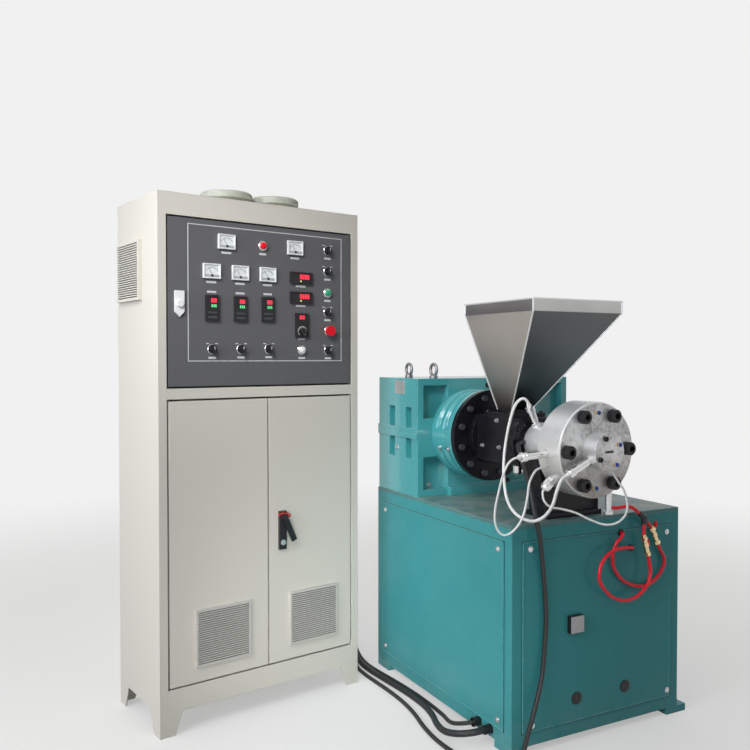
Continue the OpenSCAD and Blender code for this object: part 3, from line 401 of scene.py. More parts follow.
def finish(name, colour, rough, metal, cloud, wear, dusty, grained, bump, swing=0.12, coat=0.0, spec=0.5,
           stained=0.0, glow=0.0):
    """colour is one colour, or a list of stops up the height. cloud is the blotches' scale and
    contrast, wear the worn edge's width, amount and colour, and dusty the amount of dust.
    grained is one scale, or one along each of X, Y and Z, or TURNED."""
    tree, shader = material(name)
    base = by_height(tree, colour) if isinstance(colour, list) else (*colour, 1.0)
    tone = use(tree, blotches, Colour=base, Scale=cloud[0], Contrast=cloud[1])
    paint, raised = tone["Colour"], {"Strength": bump, "Distance": GRAIN_DEPTH}
    if stained:
        paint = use(tree, stains, Colour=paint, Amount=stained)["Colour"]
    if wear:
        width, amount, worn = wear
        rub = use(tree, edge_wear, Colour=paint, Worn=(*worn, 1.0), Width=width, Amount=amount)
        paint, raised["Normal"] = rub["Colour"], rub["Normal"]
    if dusty:
        paint = use(tree, dust, Colour=paint, Amount=dusty)["Colour"]
    if grained == TURNED:
        fibre = use(tree, turned)["Value"]
    else:
        along = grained if isinstance(grained, tuple) else (grained,) * 3
        fibre = use(tree, grain, **dict(zip("XYZ", along)))["Value"]
    fill(shader, {
        "Base Color": paint, "Metallic": metal, "Coat Weight": coat, "Specular IOR Level": spec,
        "Roughness": uneven(fibre * GRAIN_SHARE + tone["Noise"] * (1 - GRAIN_SHARE), rough, swing),
        "Normal": wire(tree, "ShaderNodeBump", {"Height": fibre, **raised})})
    if glow:
        fill(shader, {"Emission Color": paint, "Emission Strength": glow})


# %% [markdown]
# The paints: a teal enamel on the extruder, smooth on its sheet and coarser on its castings,
# and a warm white powder coat on the cabinet. Worn edges show a paler, thinner coat. On the
# teal paints the paler edges are partly wear and partly a painted highlight along the edges.

# %% Paints
SPRAYED, CAST, FINE = 700, 260, 900
# The paler teal on worn edges is partly wear and partly a painted highlight along the edges.
TEAL_WORN_AND_GLINT, WHITE_WORN = (0.27, 0.56, 0.55), (0.86, 0.85, 0.82)
finish("teal_sheet", (0.045, 0.28, 0.296), 0.28, 0, (1.6, 0.14), (0.004, 0.85, TEAL_WORN_AND_GLINT), 0.35,
       SPRAYED, 0.04, spec=0.2)
finish("teal_casting", (0.060, 0.345, 0.365), 0.22, 0, (4.0, 0.12), (0.004, 0.8, TEAL_WORN_AND_GLINT), 0.2,
       CAST, 0.04, coat=0.7)
finish("deck_paint", (0.070, 0.19, 0.195), 0.42, 0, (7.0, 0.25), (0.005, 0.9, (0.36, 0.55, 0.54)), 0.8,
       (500, 40, 500), 0.10)
finish("cabinet_paint", (0.635, 0.605, 0.54), 0.42, 0, (1.4, 0.035), (0.002, 0.5, WHITE_WORN), 0.18,
       1100, 0.10, spec=0.4)
# The grilles carry a darker copy of the cabinet paint: painted shade of their louvres.
finish("grille_painted_shade", (0.52, 0.50, 0.465), 0.55, 0, (8.0, 0.10), (0.002, 0.9, (0.75, 0.73, 0.68)), 0.3,
       SPRAYED, 0.08)
finish("fan_cream", (0.46, 0.475, 0.41), 0.4, 0, (6.0, 0.07), (0.002, 0.5, WHITE_WORN), 0.4, SPRAYED, 0.06)
finish("panel_grey", (0.115, 0.115, 0.12), 0.36, 0, (3.0, 0.06), (0.0015, 0.35, (0.3, 0.3, 0.31)), 0,
       1300, 0.08, spec=0.35)
print("finishes:", len(finishes))

# %% [markdown]
# The metals: brushed sheet on the hopper, turned steel on the barrel and the die, black iron
# on the feed block and the flange, and dull zinc, chrome and brass on small things.

# %% Metals
# The hopper's walls are coloured lighter towards the top and darker towards the throat: painted shade. The
# highest two stops colour the rim.
HOPPER_SIDE_SHADED = [(1.073, (0.285, 0.245, 0.23)), (1.20, (0.54, 0.485, 0.475)), (1.40, (0.71, 0.65, 0.64)),
               (1.403, (0.46, 0.46, 0.475)), (1.442, (0.64, 0.64, 0.65))]
# The end walls are the same steel as the sides. Their much darker colour is painted shade.
HOPPER_END_SHADED = [(1.073, (0.06, 0.10, 0.11)), (1.20, (0.10, 0.125, 0.135)), (1.40, (0.13, 0.135, 0.14)),
              (1.403, (0.60, 0.595, 0.575)), (1.442, (0.66, 0.655, 0.635))]
# The die's colour darkens towards the bottom of the drum: partly dirt, partly painted shade.
DIE_SOILED_AND_SHADED = [(0.84, (0.52, 0.50, 0.475)), (0.92, (0.76, 0.75, 0.73)), (1.0, (0.89, 0.895, 0.90)),
              (1.09, (0.90, 0.915, 0.93))]
BRUSHED = (900, 900, 30)
LIGHT = (0.9, 0.9, 0.9)
finish("hopper_steel", HOPPER_SIDE_SHADED, 0.33, 1, (5.0, 0.10), (0.0025, 0.7, (0.82, 0.81, 0.79)), 0.12,
       BRUSHED, 0.10, 0.10)
finish("hopper_painted_shade", HOPPER_END_SHADED, 0.36, 1, (6.0, 0.14), (0.0025, 0.7, (0.72, 0.71, 0.69)), 0.12,
       BRUSHED, 0.08, 0.10)
finish("turned_steel", (0.86, 0.87, 0.885), 0.42, 1, (11.0, 0.12), (0.002, 0.6, LIGHT), 0, TURNED, 0.05, 0.08)
finish("band_steel", (0.84, 0.84, 0.85), 0.48, 0.8, (14.0, 0.08), (0.0015, 0.6, (0.93, 0.93, 0.93)), 0,
       (60, 900, 60), 0.06, 0.08)
finish("die_steel", DIE_SOILED_AND_SHADED, 0.44, 0.75, (11.0, 0.10), (0.002, 0.6, LIGHT), 0, TURNED, 0.06, 0.10,
       stained=0.85)
finish("dull_steel", (0.34, 0.34, 0.35), 0.46, 0.9, (18.0, 0.20), (0.002, 0.6, (0.62, 0.62, 0.62)), 0.10,
       CAST, 0.18)
finish("black_iron", (0.011, 0.010, 0.014), 0.30, 0.15, (12.0, 0.30), (0.002, 0.45, (0.11, 0.11, 0.12)), 0.06,
       CAST, 0.20, spec=0.28)
finish("dark_steel", (0.030, 0.030, 0.033), 0.36, 0.7, (20.0, 0.30), (0.0012, 0.6, (0.22, 0.22, 0.23)), 0,
       600, 0.12)
finish("bolt_grey", (0.060, 0.066, 0.075), 0.36, 0.2, (20.0, 0.25), (0.0012, 0.6, (0.26, 0.26, 0.28)), 0,
       600, 0.10)
finish("zinc", (0.66, 0.67, 0.68), 0.30, 1, (40.0, 0.15), (0.0006, 0.5, LIGHT), 0, FINE, 0.06)
finish("chrome", (0.82, 0.82, 0.83), 0.13, 1, (30.0, 0.08), None, 0, 500, 0.03, 0.06)
finish("brass", (0.80, 0.62, 0.36), 0.26, 1, (30.0, 0.12), (0.0008, 0.5, (0.9, 0.78, 0.5)), 0, SPRAYED, 0.08)
finish("plate_aluminium", (0.70, 0.71, 0.71), 0.34, 1, (12.0, 0.08), (0.0008, 0.5, LIGHT), 0,
       (30, 40, 1000), 0.08)
print("finishes:", len(finishes))

# %% [markdown]
# The plastics are moulded, so their grain is very fine. Lamps and lit digits glow a little.

# %% Plastics
MOULDED = 1500


def plastic(name, colour, rough, cloud, bump=0.05, wear=None, **more):
    finish(name, colour, rough, 0, cloud, wear, 0, MOULDED, bump, **more)


plastic("black_plastic", (0.014, 0.014, 0.016), 0.36, (20, 0.2), 0.08, (0.0008, 0.5, (0.07, 0.07, 0.075)),
        spec=0.45)
plastic("slate_plastic", (0.060, 0.070, 0.078), 0.40, (20, 0.15), 0.08)
plastic("meter_white", (0.82, 0.83, 0.83), 0.28, (30, 0.06), 0.04, (0.0008, 0.4, LIGHT), coat=0.3)
plastic("signal_red", (0.78, 0.006, 0.020), 0.32, (25, 0.12), wear=(0.001, 0.4, (0.8, 0.12, 0.1)), spec=0.3)
plastic("signal_green", (0.015, 0.33, 0.16), 0.28, (25, 0.12), coat=0.3)
plastic("button_white", (0.74, 0.75, 0.74), 0.28, (25, 0.06), coat=0.3)
plastic("print_white", (0.62, 0.62, 0.62), 0.5, (60, 0.12))
plastic("print_dark", (0.03, 0.03, 0.03), 0.5, (60, 0.12))
plastic("cream_paint", (0.82, 0.66, 0.42), 0.4, (40, 0.10))
plastic("tag_blue", (0.015, 0.085, 0.42), 0.4, (40, 0.12))
plastic("dial_face", (0.80, 0.83, 0.82), 0.30, (40, 0.08), 0.03, coat=0.4)
plastic("meter_grey", (0.42, 0.44, 0.44), 0.35, (40, 0.08))
finish("ceramic", (0.80, 0.79, 0.75), 0.35, 0, (40, 0.08), None, 0, FINE, 0.08)
# The filter mat is darkened to stand in for the shade behind the door grilles: partly the mat, partly painted
# shade.
finish("shaded_filter_mat", (0.12, 0.105, 0.10), 0.85, 0, (60, 0.3), None, 0, 400, 0.5)
# Near-black for the painted shade behind the side grille, and for the dark seam on the cabinet's back.
finish("shade_and_seam_black", (0.02, 0.02, 0.02), 0.7, 0, (20, 0.2), None, 0, 300, 0.1)
for name, colour, glow in (("lit_red", (0.85, 0.03, 0.06), 0.9), ("lit_green", (0.10, 0.60, 0.22), 0.6),
                           ("lit_amber", (0.80, 0.72, 0.25), 0.7)):
    plastic(name, colour, 0.3, (90, 0.3), 0.04, glow=glow)
print("finishes:", len(finishes))

# %% [markdown]
# Cords carry a pattern that runs along them, so their finishes read the tube's own UV map:
# U is the length in metres and V goes once round. The leads are sleeved in woven glass, the
# cables have a matt jacket with faint lengthwise lines, and the hoses are glossy.

# %% Cord finishes
def cord_finish(name, colour, rough, turns, pitch, depth, swing):
    """turns is the number of strands round the cord, pitch the strands for each metre."""
    tree, shader = material(name)
    u, v, _ = wire(tree, "ShaderNodeUVMap").parts()
    along, across = u * (pitch * math.tau), v * (turns * math.tau)
    weave = (along + across).math("SINE").at_least((along - across).math("SINE")) * 0.5 + 0.5
    tone = use(tree, blotches, Colour=(*colour, 1.0), Scale=22.0, Contrast=0.16)
    raised = {"Height": weave, "Strength": depth, "Distance": WEAVE_DEPTH}
    fill(shader, {"Base Color": (weave * swing + (1.0 - swing)).dim(tone["Colour"]),
                  "Roughness": uneven(tone["Noise"], rough, CORD_SWING),
                  "Normal": wire(tree, "ShaderNodeBump", raised)})


cord_finish("white_sleeve", (0.90, 0.90, 0.88), 0.55, 6, 260, 0.30, 0.14)
cord_finish("black_jacket", (0.020, 0.020, 0.021), 0.46, 10, 0, 0.25, 0.25)
cord_finish("red_hose", (0.92, 0.004, 0.022), 0.30, 4, 0, 0.08, 0.10)
print("finishes:", len(finishes))

# %% [markdown]
# ## Finishes on the solids
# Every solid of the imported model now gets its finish. Their meshes stay as they are.

# %% Paint the solids
WEARS = {
    "teal_sheet": "base_posts base_rails anchor_feet front_panel cover_panels",
    "teal_casting": "gear_housing_lower gear_housing_upper output_boss",
    "deck_paint": "deck_plate",
    "black_iron": "flange_disc feed_block hopper_seat barrel_support",
    "dark_steel": "die_bolts hinge_pins",
    "bolt_grey": "flange_bolts",
    "dull_steel": "lifting_eyes panel_latch",
    "hopper_steel": "hopper_side_walls",
    "hopper_painted_shade": "hopper_end_walls",
    "turned_steel": "barrel",
    "die_steel": "die_drum die_nose",
    "band_steel": "heater_band coolant_pipe",
    "chrome": "heater_plugs",
    "cabinet_paint": "cabinet_sides cabinet_back roof_and_floor front_stiles front_rails cabinet_feet "
                     "side_grille left_door right_door",
    "grille_painted_shade": "left_grille right_grille",
    "fan_cream": "roof_fans",
    "panel_grey": "instrument_door",
    "meter_white": "meters panel_lock",
    "black_plastic": "cable_glands temperature_controllers digital_displays selector_knobs door_handle",
    "signal_red": "emergency_stop",
    "button_white": "push_buttons",
    "brass": "hose_fittings",
}
for wears, solids in WEARS.items():
    for solid in solids.split():
        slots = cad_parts[solid].data.materials
        slots.clear()
        slots.append(finishes[wears])
print("solids painted:", sum(len(s.split()) for s in WEARS.values()))

# %% [markdown]
# ## Cords
# Each cable, lead and hose follows the same route as its solid, as one smooth curve through
# the points. A round tube is swept along it: each ring of the tube is carried over from the
# last one without twist, and the UV map runs along with it.

# %% Routes in machine millimetres
ROUTES = {  # radius, points
    "heater_cable": (7.5, [
        (-184, 958, 250), (-163, 962, 250), (-135, 966, 243), (-114, 962, 212), (-106, 945, 140),
        (-108, 915, 60), (-111, 870, 16), (-112, 800, 9), (-108, 700, 9), (-104, 600, 9), (-106, 500, 9),
        (-118, 400, 9), (-140, 300, 9), (-152, 200, 9), (-148, 100, 9), (-126, 10, 9), (-92, -48, 9),
        (-50, -74, 16), (-8, -66, 44), (32, -44, 92), (72, -26, 155), (104, -18, 240), (118, -14, 330),
        (124, -14, 440), (114, -14, 560), (98, -19, 660), (84, -24, 715), (78, -14, 765), (84, 20, 845),
        (98, 62, 890), (114, 110, 935), (130, 140, 962), (144, 149, 971), (162.7, 150, 972)]),
    "motor_cable": (11, [
        (-193, 1014, 250), (-172, 1017, 250), (-138, 1022, 243), (-106, 1018, 210), (-90, 1000, 140),
        (-84, 960, 60), (-82, 900, 20), (-78, 830, 12), (-72, 740, 12), (-62, 640, 12), (-55, 540, 12),
        (-56, 440, 12), (-70, 360, 12), (-96, 285, 14), (-110, 215, 22), (-98, 155, 36), (-64, 119, 47),
        (-26, 112, 50), (-8, 112, 50)]),
    "control_cable": (7, [
        (-202, 1069, 250), (-181, 1072, 250), (-148, 1077, 244), (-104, 1074, 218), (-74, 1058, 160),
        (-60, 1020, 80), (-55, 960, 24), (-53, 900, 8), (-52, 820, 8), (-44, 740, 8), (-34, 640, 8),
        (-28, 540, 8), (-28, 440, 8), (-34, 350, 9), (-50, 285, 16), (-60, 235, 30), (-50, 194, 44),
        (-26, 177, 50), (-8, 176, 50)]),
    "loop_lead": (5, [
        (171.4, 137, 1097), (165.5, 137.5, 1110), (154, 142, 1119), (141, 151, 1113), (133, 165, 1092),
        (130, 181, 1053), (125, 194, 998), (111, 192, 924), (91, 166, 853), (72, 125, 795), (60, 75, 762),
        (52, 15, 748), (44, -50, 752), (40, -105, 776), (40, -142, 814), (48, -153, 860), (66, -153, 892),
        (88.5, -152.5, 903)]),
    "side_lead": (3.5, [
        (-28.5, -72.5, 955.4), (-46, -71, 953), (-62, -62, 938), (-70, -46, 900), (-73, -30, 850),
        (-72, -12, 800), (-66, 0, 755), (-52, 2, 722), (-34, -6, 708), (-12, -22, 722), (8, -38, 760),
        (22, -44, 815), (30, -46, 870), (46, -52, 905), (64, -55, 915), (87.5, -56, 917)]),
    "front_lead": (3.5, [
        (95.8, -39, 848.2), (85, -42, 836), (86, -48, 812), (104, -56, 792), (140, -64, 784),
        (180, -86, 772), (214, -114, 752), (250, -140, 738), (282, -160, 745), (304, -172, 770),
        (308, -175, 805), (296, -173, 845), (279, -166, 873), (264.8, -159, 898.2), (256, -157, 916.1)]),
    "supply_hose": (6, [
        (421.2, 9.1, 752), (437, -2.75, 752), (458, -13, 756), (480, -22, 753), (495.3, -27.4, 741.8),
        (507.7, -28, 732.2)]),
    "left_hose": (6, [
        (545, -34, 584.5), (551, -34, 562), (556, -34, 525), (538, -35, 482), (488, -36, 452),
        (432, -36, 448), (374, -36, 472), (332, -36, 518), (326, -36, 556), (346, -36, 596),
        (390, -35, 620), (440, -34, 623), (468, -31, 620), (485, -23, 616), (492, -13, 613),
        (493, -3.6, 612)]),
    "right_hose": (6, [
        (606, -18, 615.5), (620, -17, 592), (639, -15, 566), (638, -14, 532), (602, -14, 494),
        (548, -14, 476), (484, -14, 490), (438, -14, 518), (408, -14, 560), (404, -15, 602),
        (414, -19, 636), (430, -25, 656), (442, -22, 665), (447, -13, 667), (448, -3.6, 667)]),
}
print("cords:", len(ROUTES))

# %% Sweep a tube
STEPS = 6  # on the line from one point to the next
STEEP = 0.9


def through(points):
    """A smooth line through the points: a cubic from each one to the next, sampled."""
    line = []
    for i in range(len(points) - 1):
        a, b, c, d = (points[min(max(k, 0), len(points) - 1)] for k in (i - 1, i, i + 1, i + 2))
        for t in (s / STEPS for s in range(STEPS)):
            line.append(0.5 * (2 * b + (c - a) * t + (2 * a - 5 * b + 4 * c - d) * t ** 2
                               + (3 * b - a - 3 * c + d) * t ** 3))
    return line + [points[-1]]


def sweep(shape, path, radius, sides=12):
    """Adds a closed tube along the path to a bmesh, with UVs along and round it."""
    uv = shape.loops.layers.uv.verify()
    turns = [math.tau * k / sides for k in range(sides)]
    rings, run, side = [], [0.0], None
    for i, point in enumerate(path):
        ahead = (path[min(i + 1, len(path) - 1)] - path[max(i - 1, 0)]).normalized()
        start = side or (Vector(UP) if abs(ahead.z) < STEEP else Vector(RIGHT))
        side = (start - ahead * start.dot(ahead)).normalized()
        other = ahead.cross(side)
        rings.append([shape.verts.new(point + radius * (math.cos(t) * side + math.sin(t) * other))
                      for t in turns])
        if i:
            run.append(run[-1] + (point - path[i - 1]).length)
    for i in range(len(rings) - 1):
        for k in range(sides):
            j = (k + 1) % sides
            wall = shape.faces.new((rings[i][k], rings[i][j], rings[i + 1][j], rings[i + 1][k]))
            wall.smooth = True
            spots = ((run[i], k), (run[i], k + 1), (run[i + 1], k + 1), (run[i + 1], k))
            for loop, (u, v) in zip(wall.loops, spots):
                loop[uv].uv = (u, v / sides)
    shape.faces.new(reversed(rings[0]))
    shape.faces.new(rings[-1])
    return run[-1]


# %% Piece maker
def piece(name, shape, wears, body="root", slot=None, frame_of=MACHINE, sharp=35):
    """Turns a bmesh or a mesh into an object that rides on a body. frame_of takes it from its
    drawing to the scene, and sharp is the least angle of a sharp edge."""
    mesh = shape
    if isinstance(shape, bmesh.types.BMesh):
        mesh = bpy.data.meshes.new(name)
        shape.to_mesh(mesh)
        shape.free()
    if frame_of:
        mesh.transform(frame_of)
    if sharp:
        mesh.shade_smooth()
        mesh.set_sharp_from_angle(angle=math.radians(sharp))
    mesh.materials.clear()
    mesh.materials.append(finishes[wears])
    made = put(name, mesh)
    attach(made, body)
    return made


# %% [markdown]
# The hose fittings come before the hoses, because the hoses start at them: a black tee, two
# short red stubs, and two brass couplings with hexagon nuts and red levers. A coupling is
# turned from a profile of radius and height, and a hexagon is a circle whose radius follows
# six flats.

# %% Turn a profile
def skin(shape, rings):
    """Joins rings of points to a closed skin. A ring of one point is a tip."""
    made, sides = [], max(len(ring) for ring in rings)
    for low, high in zip(rings, rings[1:]):
        for k in range(sides):
            j = (k + 1) % sides
            corners = [low[k % len(low)], low[j % len(low)], high[j % len(high)], high[k % len(high)]]
            corners = [v for i, v in enumerate(corners) if v not in corners[:i]]
            if len(corners) > 2:
                made.append(shape.faces.new(corners))
    made += [shape.faces.new(end) for end in (rings[0][::-1], rings[-1]) if len(end) > 1]
    bmesh.ops.recalc_face_normals(shape, faces=made)


def lathe(shape, profile, start, along, sides=24):
    """Adds a solid of revolution to a bmesh. A profile point is (radius, height), and a third
    entry "hex" makes that ring a hexagon with the radius as half its width across flats."""
    turn = Vector(UP).rotation_difference(Vector(along).normalized())
    start, rings = Vector(start), []
    for radius, height, *form in profile:
        ring = []
        for k in range(sides if radius else 1):
            t = math.tau * k / sides
            r = radius / math.cos((t % (math.pi / 3)) - math.pi / 6) if form else radius
            ring.append(shape.verts.new(start + turn @ Vector((r * math.cos(t), r * math.sin(t), height))))
        rings.append(ring)
    skin(shape, rings)


def lathed(name, wears, profile, start, along, sides=24, **more):
    """A piece that is one solid of revolution."""
    shape = bmesh.new()
    lathe(shape, profile, start, along, sides)
    return piece(name, shape, wears, **more)


# %% Hose fittings
HOSE_R, STUB_STEPS = 6, 6
TEE_IN, TEE_OUT = Vector((508, -28, 732)), Vector((530, -29, 715))
STUBS = {"left": (Vector((528, -32, 650)), Vector((545, -34, 585))),
         "right": (Vector((576, -20, 674)), Vector((606, -18, 616)))}
LEVERS = {"left": ((541, -33, 640), (5, 0, -20)), "right": ((588, -20, 672), (8, 0, 22))}
LEVER = [(0, -2), (4, -2), (6, 1), (6, 20), (4.5, 24), (0, 25)]
tee, red, on_hose = bmesh.new(), bmesh.new(), {}
lathe(tee, [(0, 0), (8, 0), (8, 9), (9.5, 10), (9.5, 24), (0, 24)], TEE_IN, TEE_OUT - TEE_IN)
lathe(tee, [(0, -11), (6, -10), (10, -5), (11, 0), (10, 5), (6, 10), (0, 11)], TEE_OUT, REAR)
for hand, (stub, end) in STUBS.items():
    lathe(tee, [(0, 0), (9.5, 0), (9.5, 20), (8.5, 22), (0, 22)], TEE_OUT, stub - TEE_OUT)
    sweep(red, [TEE_OUT.lerp(stub, k / STUB_STEPS) for k in range(STUB_STEPS + 1)], HOSE_R)
    run = (end - stub).length
    union = [(0, -8), (7, -8), (7, -2), (9.5, -2, "hex"), (9.5, 10, "hex"), (7.5, 11), (7.5, 20), (9.5, 21),
             (9.5, 33), (7.5, 34), (7.5, run - 14), (9.5, run - 13, "hex"), (9.5, run - 2, "hex"), (8, run),
             (0, run)]
    on_hose[hand + "_hose"] = [
        lathed(hand + "_coupling", "brass", union, stub, end - stub, slot="brass_fitting"),
        lathed(hand + "_lever", "signal_red", LEVER, *LEVERS[hand], slot="signal_red")]
tee_piece = piece("hose_tee", tee, "black_plastic")
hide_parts("hose_fittings")
on_hose["supply_hose"] = [tee_piece, piece("hose_stubs", red, "red_hose", slot="red_hose")]
print("fittings:", {hose: [p.name for p in on] for hose, on in on_hose.items()})

# %% Lay the cords
LOOK_OF = {"cable": ("black_jacket", "black_rubber"), "lead": ("white_sleeve", "white_sleeve"),
           "hose": ("red_hose", "red_hose")}
for name, (radius, drawn) in ROUTES.items():
    path = through([MACHINE @ Vector(p) for p in drawn])
    if name in ("left_hose", "right_hose"):
        path.reverse()
    kind = name.split("_")[1]
    wears, slot = LOOK_OF[kind]
    shape = bmesh.new()
    length = sweep(shape, path, radius * MM)
    cord = piece(name + "_cord", shape, wears, slot=slot, frame_of=None, sharp=None)
    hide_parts(name)
    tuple(path[0])
    print(name, round(length, 3), "m")

# %% [markdown]
# ## Small hardware
# Screws, rivets and plates repeat all over the machine, so they grow from Geometry Nodes.
# The seed of each set is a plain list of spots in drawing millimetres. A spot has a second
# vector, its detail: the way a screw looks, or the size of a plate. The tree's result is
# kept as a plain mesh, so the modifier is gone before the piece rides on its body.

# %% Tree helpers
def shape_tree(name, inputs):
    """An empty Geometry Nodes tree with its own inputs between the spots and the finish."""
    inputs = {"Geometry": "Geometry", **inputs, "Finish": "Material"}
    made, given, gives = new_tree("Geometry", name, inputs, {"Geometry": "Geometry"})
    made.is_modifier = True
    return made, given, gives


def cube(tree, x, y, z):
    return wire(tree, "GeometryNodeMeshCube", {"Size": vector(tree, x, y, z)})


def moved(geometry, **how):
    return geometry.into("GeometryNodeTransform", how)


def joined(first, second):
    made = add(first.tree, "GeometryNodeJoinGeometry", {0: first})
    return Wire(fill(made, {0: second}).outputs[0])


def instances(points, shape, **how):
    return points.into("GeometryNodeInstanceOnPoints", {"Instance": shape, **how})


def wheel(tree, count, radius, at, bar):
    """Bars round a middle, each turned outwards. at is the angle of each bar."""
    spot = vector(tree, at.math("COSINE") * radius, at.math("SINE") * radius)
    points = wire(tree, "GeometryNodePoints", {"Count": count, "Position": spot})
    return instances(points, bar, Rotation=vector(tree, z=at))


def detail(tree):
    """The spot's second vector."""
    return wire(tree, "GeometryNodeInputNamedAttribute", {"Name": "detail"}, data_type="FLOAT_VECTOR")


def close(tree, given, gives, placed):
    """Ends a tree with real meshes instead of instances, and with the finish."""
    real = placed.into("GeometryNodeRealizeInstances", {})
    fill(gives, {0: real.into("GeometryNodeSetMaterial", {"Material": given["Finish"]})})
    print("tree", tree.name, len(tree.nodes), "nodes")


# %% Grow a piece
def grow(name, tree, spots, wears, values=None, edges=(), **more):
    """Runs a tree on the spots and keeps the result as a plain piece."""
    seed = bpy.data.meshes.new(name + "_spots")
    seed.from_pydata([Vector(spot) for spot, extra in spots], edges, [])
    seed.attributes.new("detail", "FLOAT_VECTOR", "POINT").data.foreach_set(
        "vector", [part for spot, extra in spots for part in extra])
    holder = put(name + "_spots", seed)
    step = holder.modifiers.new("tree", "NODES")
    step.node_group = tree
    settings = {"Finish": finishes[wears], **(values or {})}
    for socket in tree.interface.items_tree:
        if socket.in_out == "INPUT" and socket.name in settings:
            step[socket.identifier] = settings[socket.name]
    now = bpy.context.evaluated_depsgraph_get()
    mesh = bpy.data.meshes.new_from_object(holder.evaluated_get(now), depsgraph=now)
    mesh.name = name
    holder.modifiers.remove(step)
    bpy.data.objects.remove(holder)
    print(name, len(spots), "spots,", len(mesh.polygons), "faces")
    return piece(name, mesh, wears, **more)


# %% [markdown]
# A fastener is a washer and a head with a chamfered rim and a sunk socket. Six sides make a
# bolt, twenty a screw. The head grows by extruding and narrowing one face after the other.

# %% Fastener tree
SIZES = ("Sides", "Head Radius", "Head Height", "Socket Share", "Socket Depth", "Washer Radius",
         "Washer Height")
PAN_HEAD = dict(zip(SIZES, (20, 6.5, 4.0, 0.42, 1.4, 9.5, 1.2)))
HEX = dict(zip(SIZES, (6, 8.5, 7.0, 0.7, 0.4, 10.5, 1.5)))
SOCKET_CAP = dict(zip(SIZES, (24, 7.5, 7.0, 0.55, 4.0, 7.0, 0.2)))
DOT = dict(zip(SIZES, (20, 6.0, 3.0, 0.5, 0.6, 4.0, 0.2)))
TRUNK_SHARE, RIM_SHARE, WASHER_SIDES = 0.8, 0.86, 24
fasteners, given, gives = shape_tree("fasteners", HEX)


def cylinder(sides, radius, depth):
    return wires(fasteners, "GeometryNodeMeshCylinder", {"Vertices": sides, "Radius": radius, "Depth": depth})


def extruded(mesh, face, by):
    return wires(fasteners, "GeometryNodeExtrudeMesh", {"Mesh": mesh, "Selection": face, "Offset Scale": by})


def narrowed(mesh, face, share):
    return wire(fasteners, "GeometryNodeScaleElements", {"Geometry": mesh, "Selection": face, "Scale": share})


tall, thick = given["Head Height"], given["Washer Height"]
trunk = tall * TRUNK_SHARE
head = cylinder(given["Sides"], given["Head Radius"], trunk)
rise = extruded(head["Mesh"], head["Top"], tall * (1 - TRUNK_SHARE))
rim = extruded(narrowed(rise["Mesh"], rise["Top"], RIM_SHARE), rise["Top"], 0.0)
mouth = narrowed(rim["Mesh"], rim["Top"], given["Socket Share"])
sunk = extruded(mouth, rim["Top"], given["Socket Depth"] * -1)["Mesh"]
stood = moved(sunk, Translation=vector(fasteners, z=trunk * 0.5 + thick))
washer = cylinder(WASHER_SIDES, given["Washer Radius"], thick)["Mesh"]
laid = moved(washer, Translation=vector(fasteners, z=thick * 0.5))
outward = wire(fasteners, "FunctionNodeAlignRotationToVector", {"Vector": detail(fasteners)}, axis="Z")
close(fasteners, given, gives, instances(given["Geometry"], joined(stood, laid), Rotation=outward))

# %% [markdown]
# A screw has to sit on what carries it. A straight line cast at a solid finds the spot, so a
# detail stays on its solid also where the drawing curves or steps.

# %% Find a spot on a solid
def land(solid, start, along, drawn_in=MACHINE):
    """Where a line from start first meets a solid, in drawing millimetres."""
    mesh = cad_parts[solid].data
    faces = BVHTree.FromPolygons([v.co for v in mesh.vertices], [p.vertices for p in mesh.polygons])
    met = faces.ray_cast(drawn_in @ Vector(start), (drawn_in.to_3x3() @ Vector(along)).normalized())[0]
    return drawn_in.inverted() @ met


def seats(solid, along, starts):
    """Spots on a solid for fasteners that look back along the line."""
    return [(land(solid, start, along), -Vector(along)) for start in starts]


def around(radius, turns, y):
    """Points round the barrel's axis."""
    return [(AXIS_X + radius * math.cos(math.radians(t)), y, AXIS_Z + radius * math.sin(math.radians(t)))
            for t in turns]


# %% [markdown]
# The base's panels are held by bright pan-head screws near their corners.

# %% Panel screws
SCREW_X, SCREW_Y, SCREW_Z = (69, 655), (69, 827), (96, 646)
screws = [((x, -PANEL_T, z), FRONT) for x, z in ((70, 652), (665, 649), (79, 88), (671, 91))]
for y in SCREW_Y:
    for z in SCREW_Z:
        screws += [((-PANEL_T, y, z), LEFT), ((BASE_W + PANEL_T, y, z), RIGHT)]
screws += [((x, BASE_D + PANEL_T, z), REAR) for x in SCREW_X for z in SCREW_Z]
grow("panel_screws", fasteners, screws, "zinc", PAN_HEAD, slot="bright_steel")

# %% [markdown]
# The boss between the gear housing and the flange is cast with two deep, rounded grooves. On
# each side a pad bridges them and carries the oil plugs. The solid's own grooves are shallow,
# so a turned piece with the same outside and the same ends takes its place.

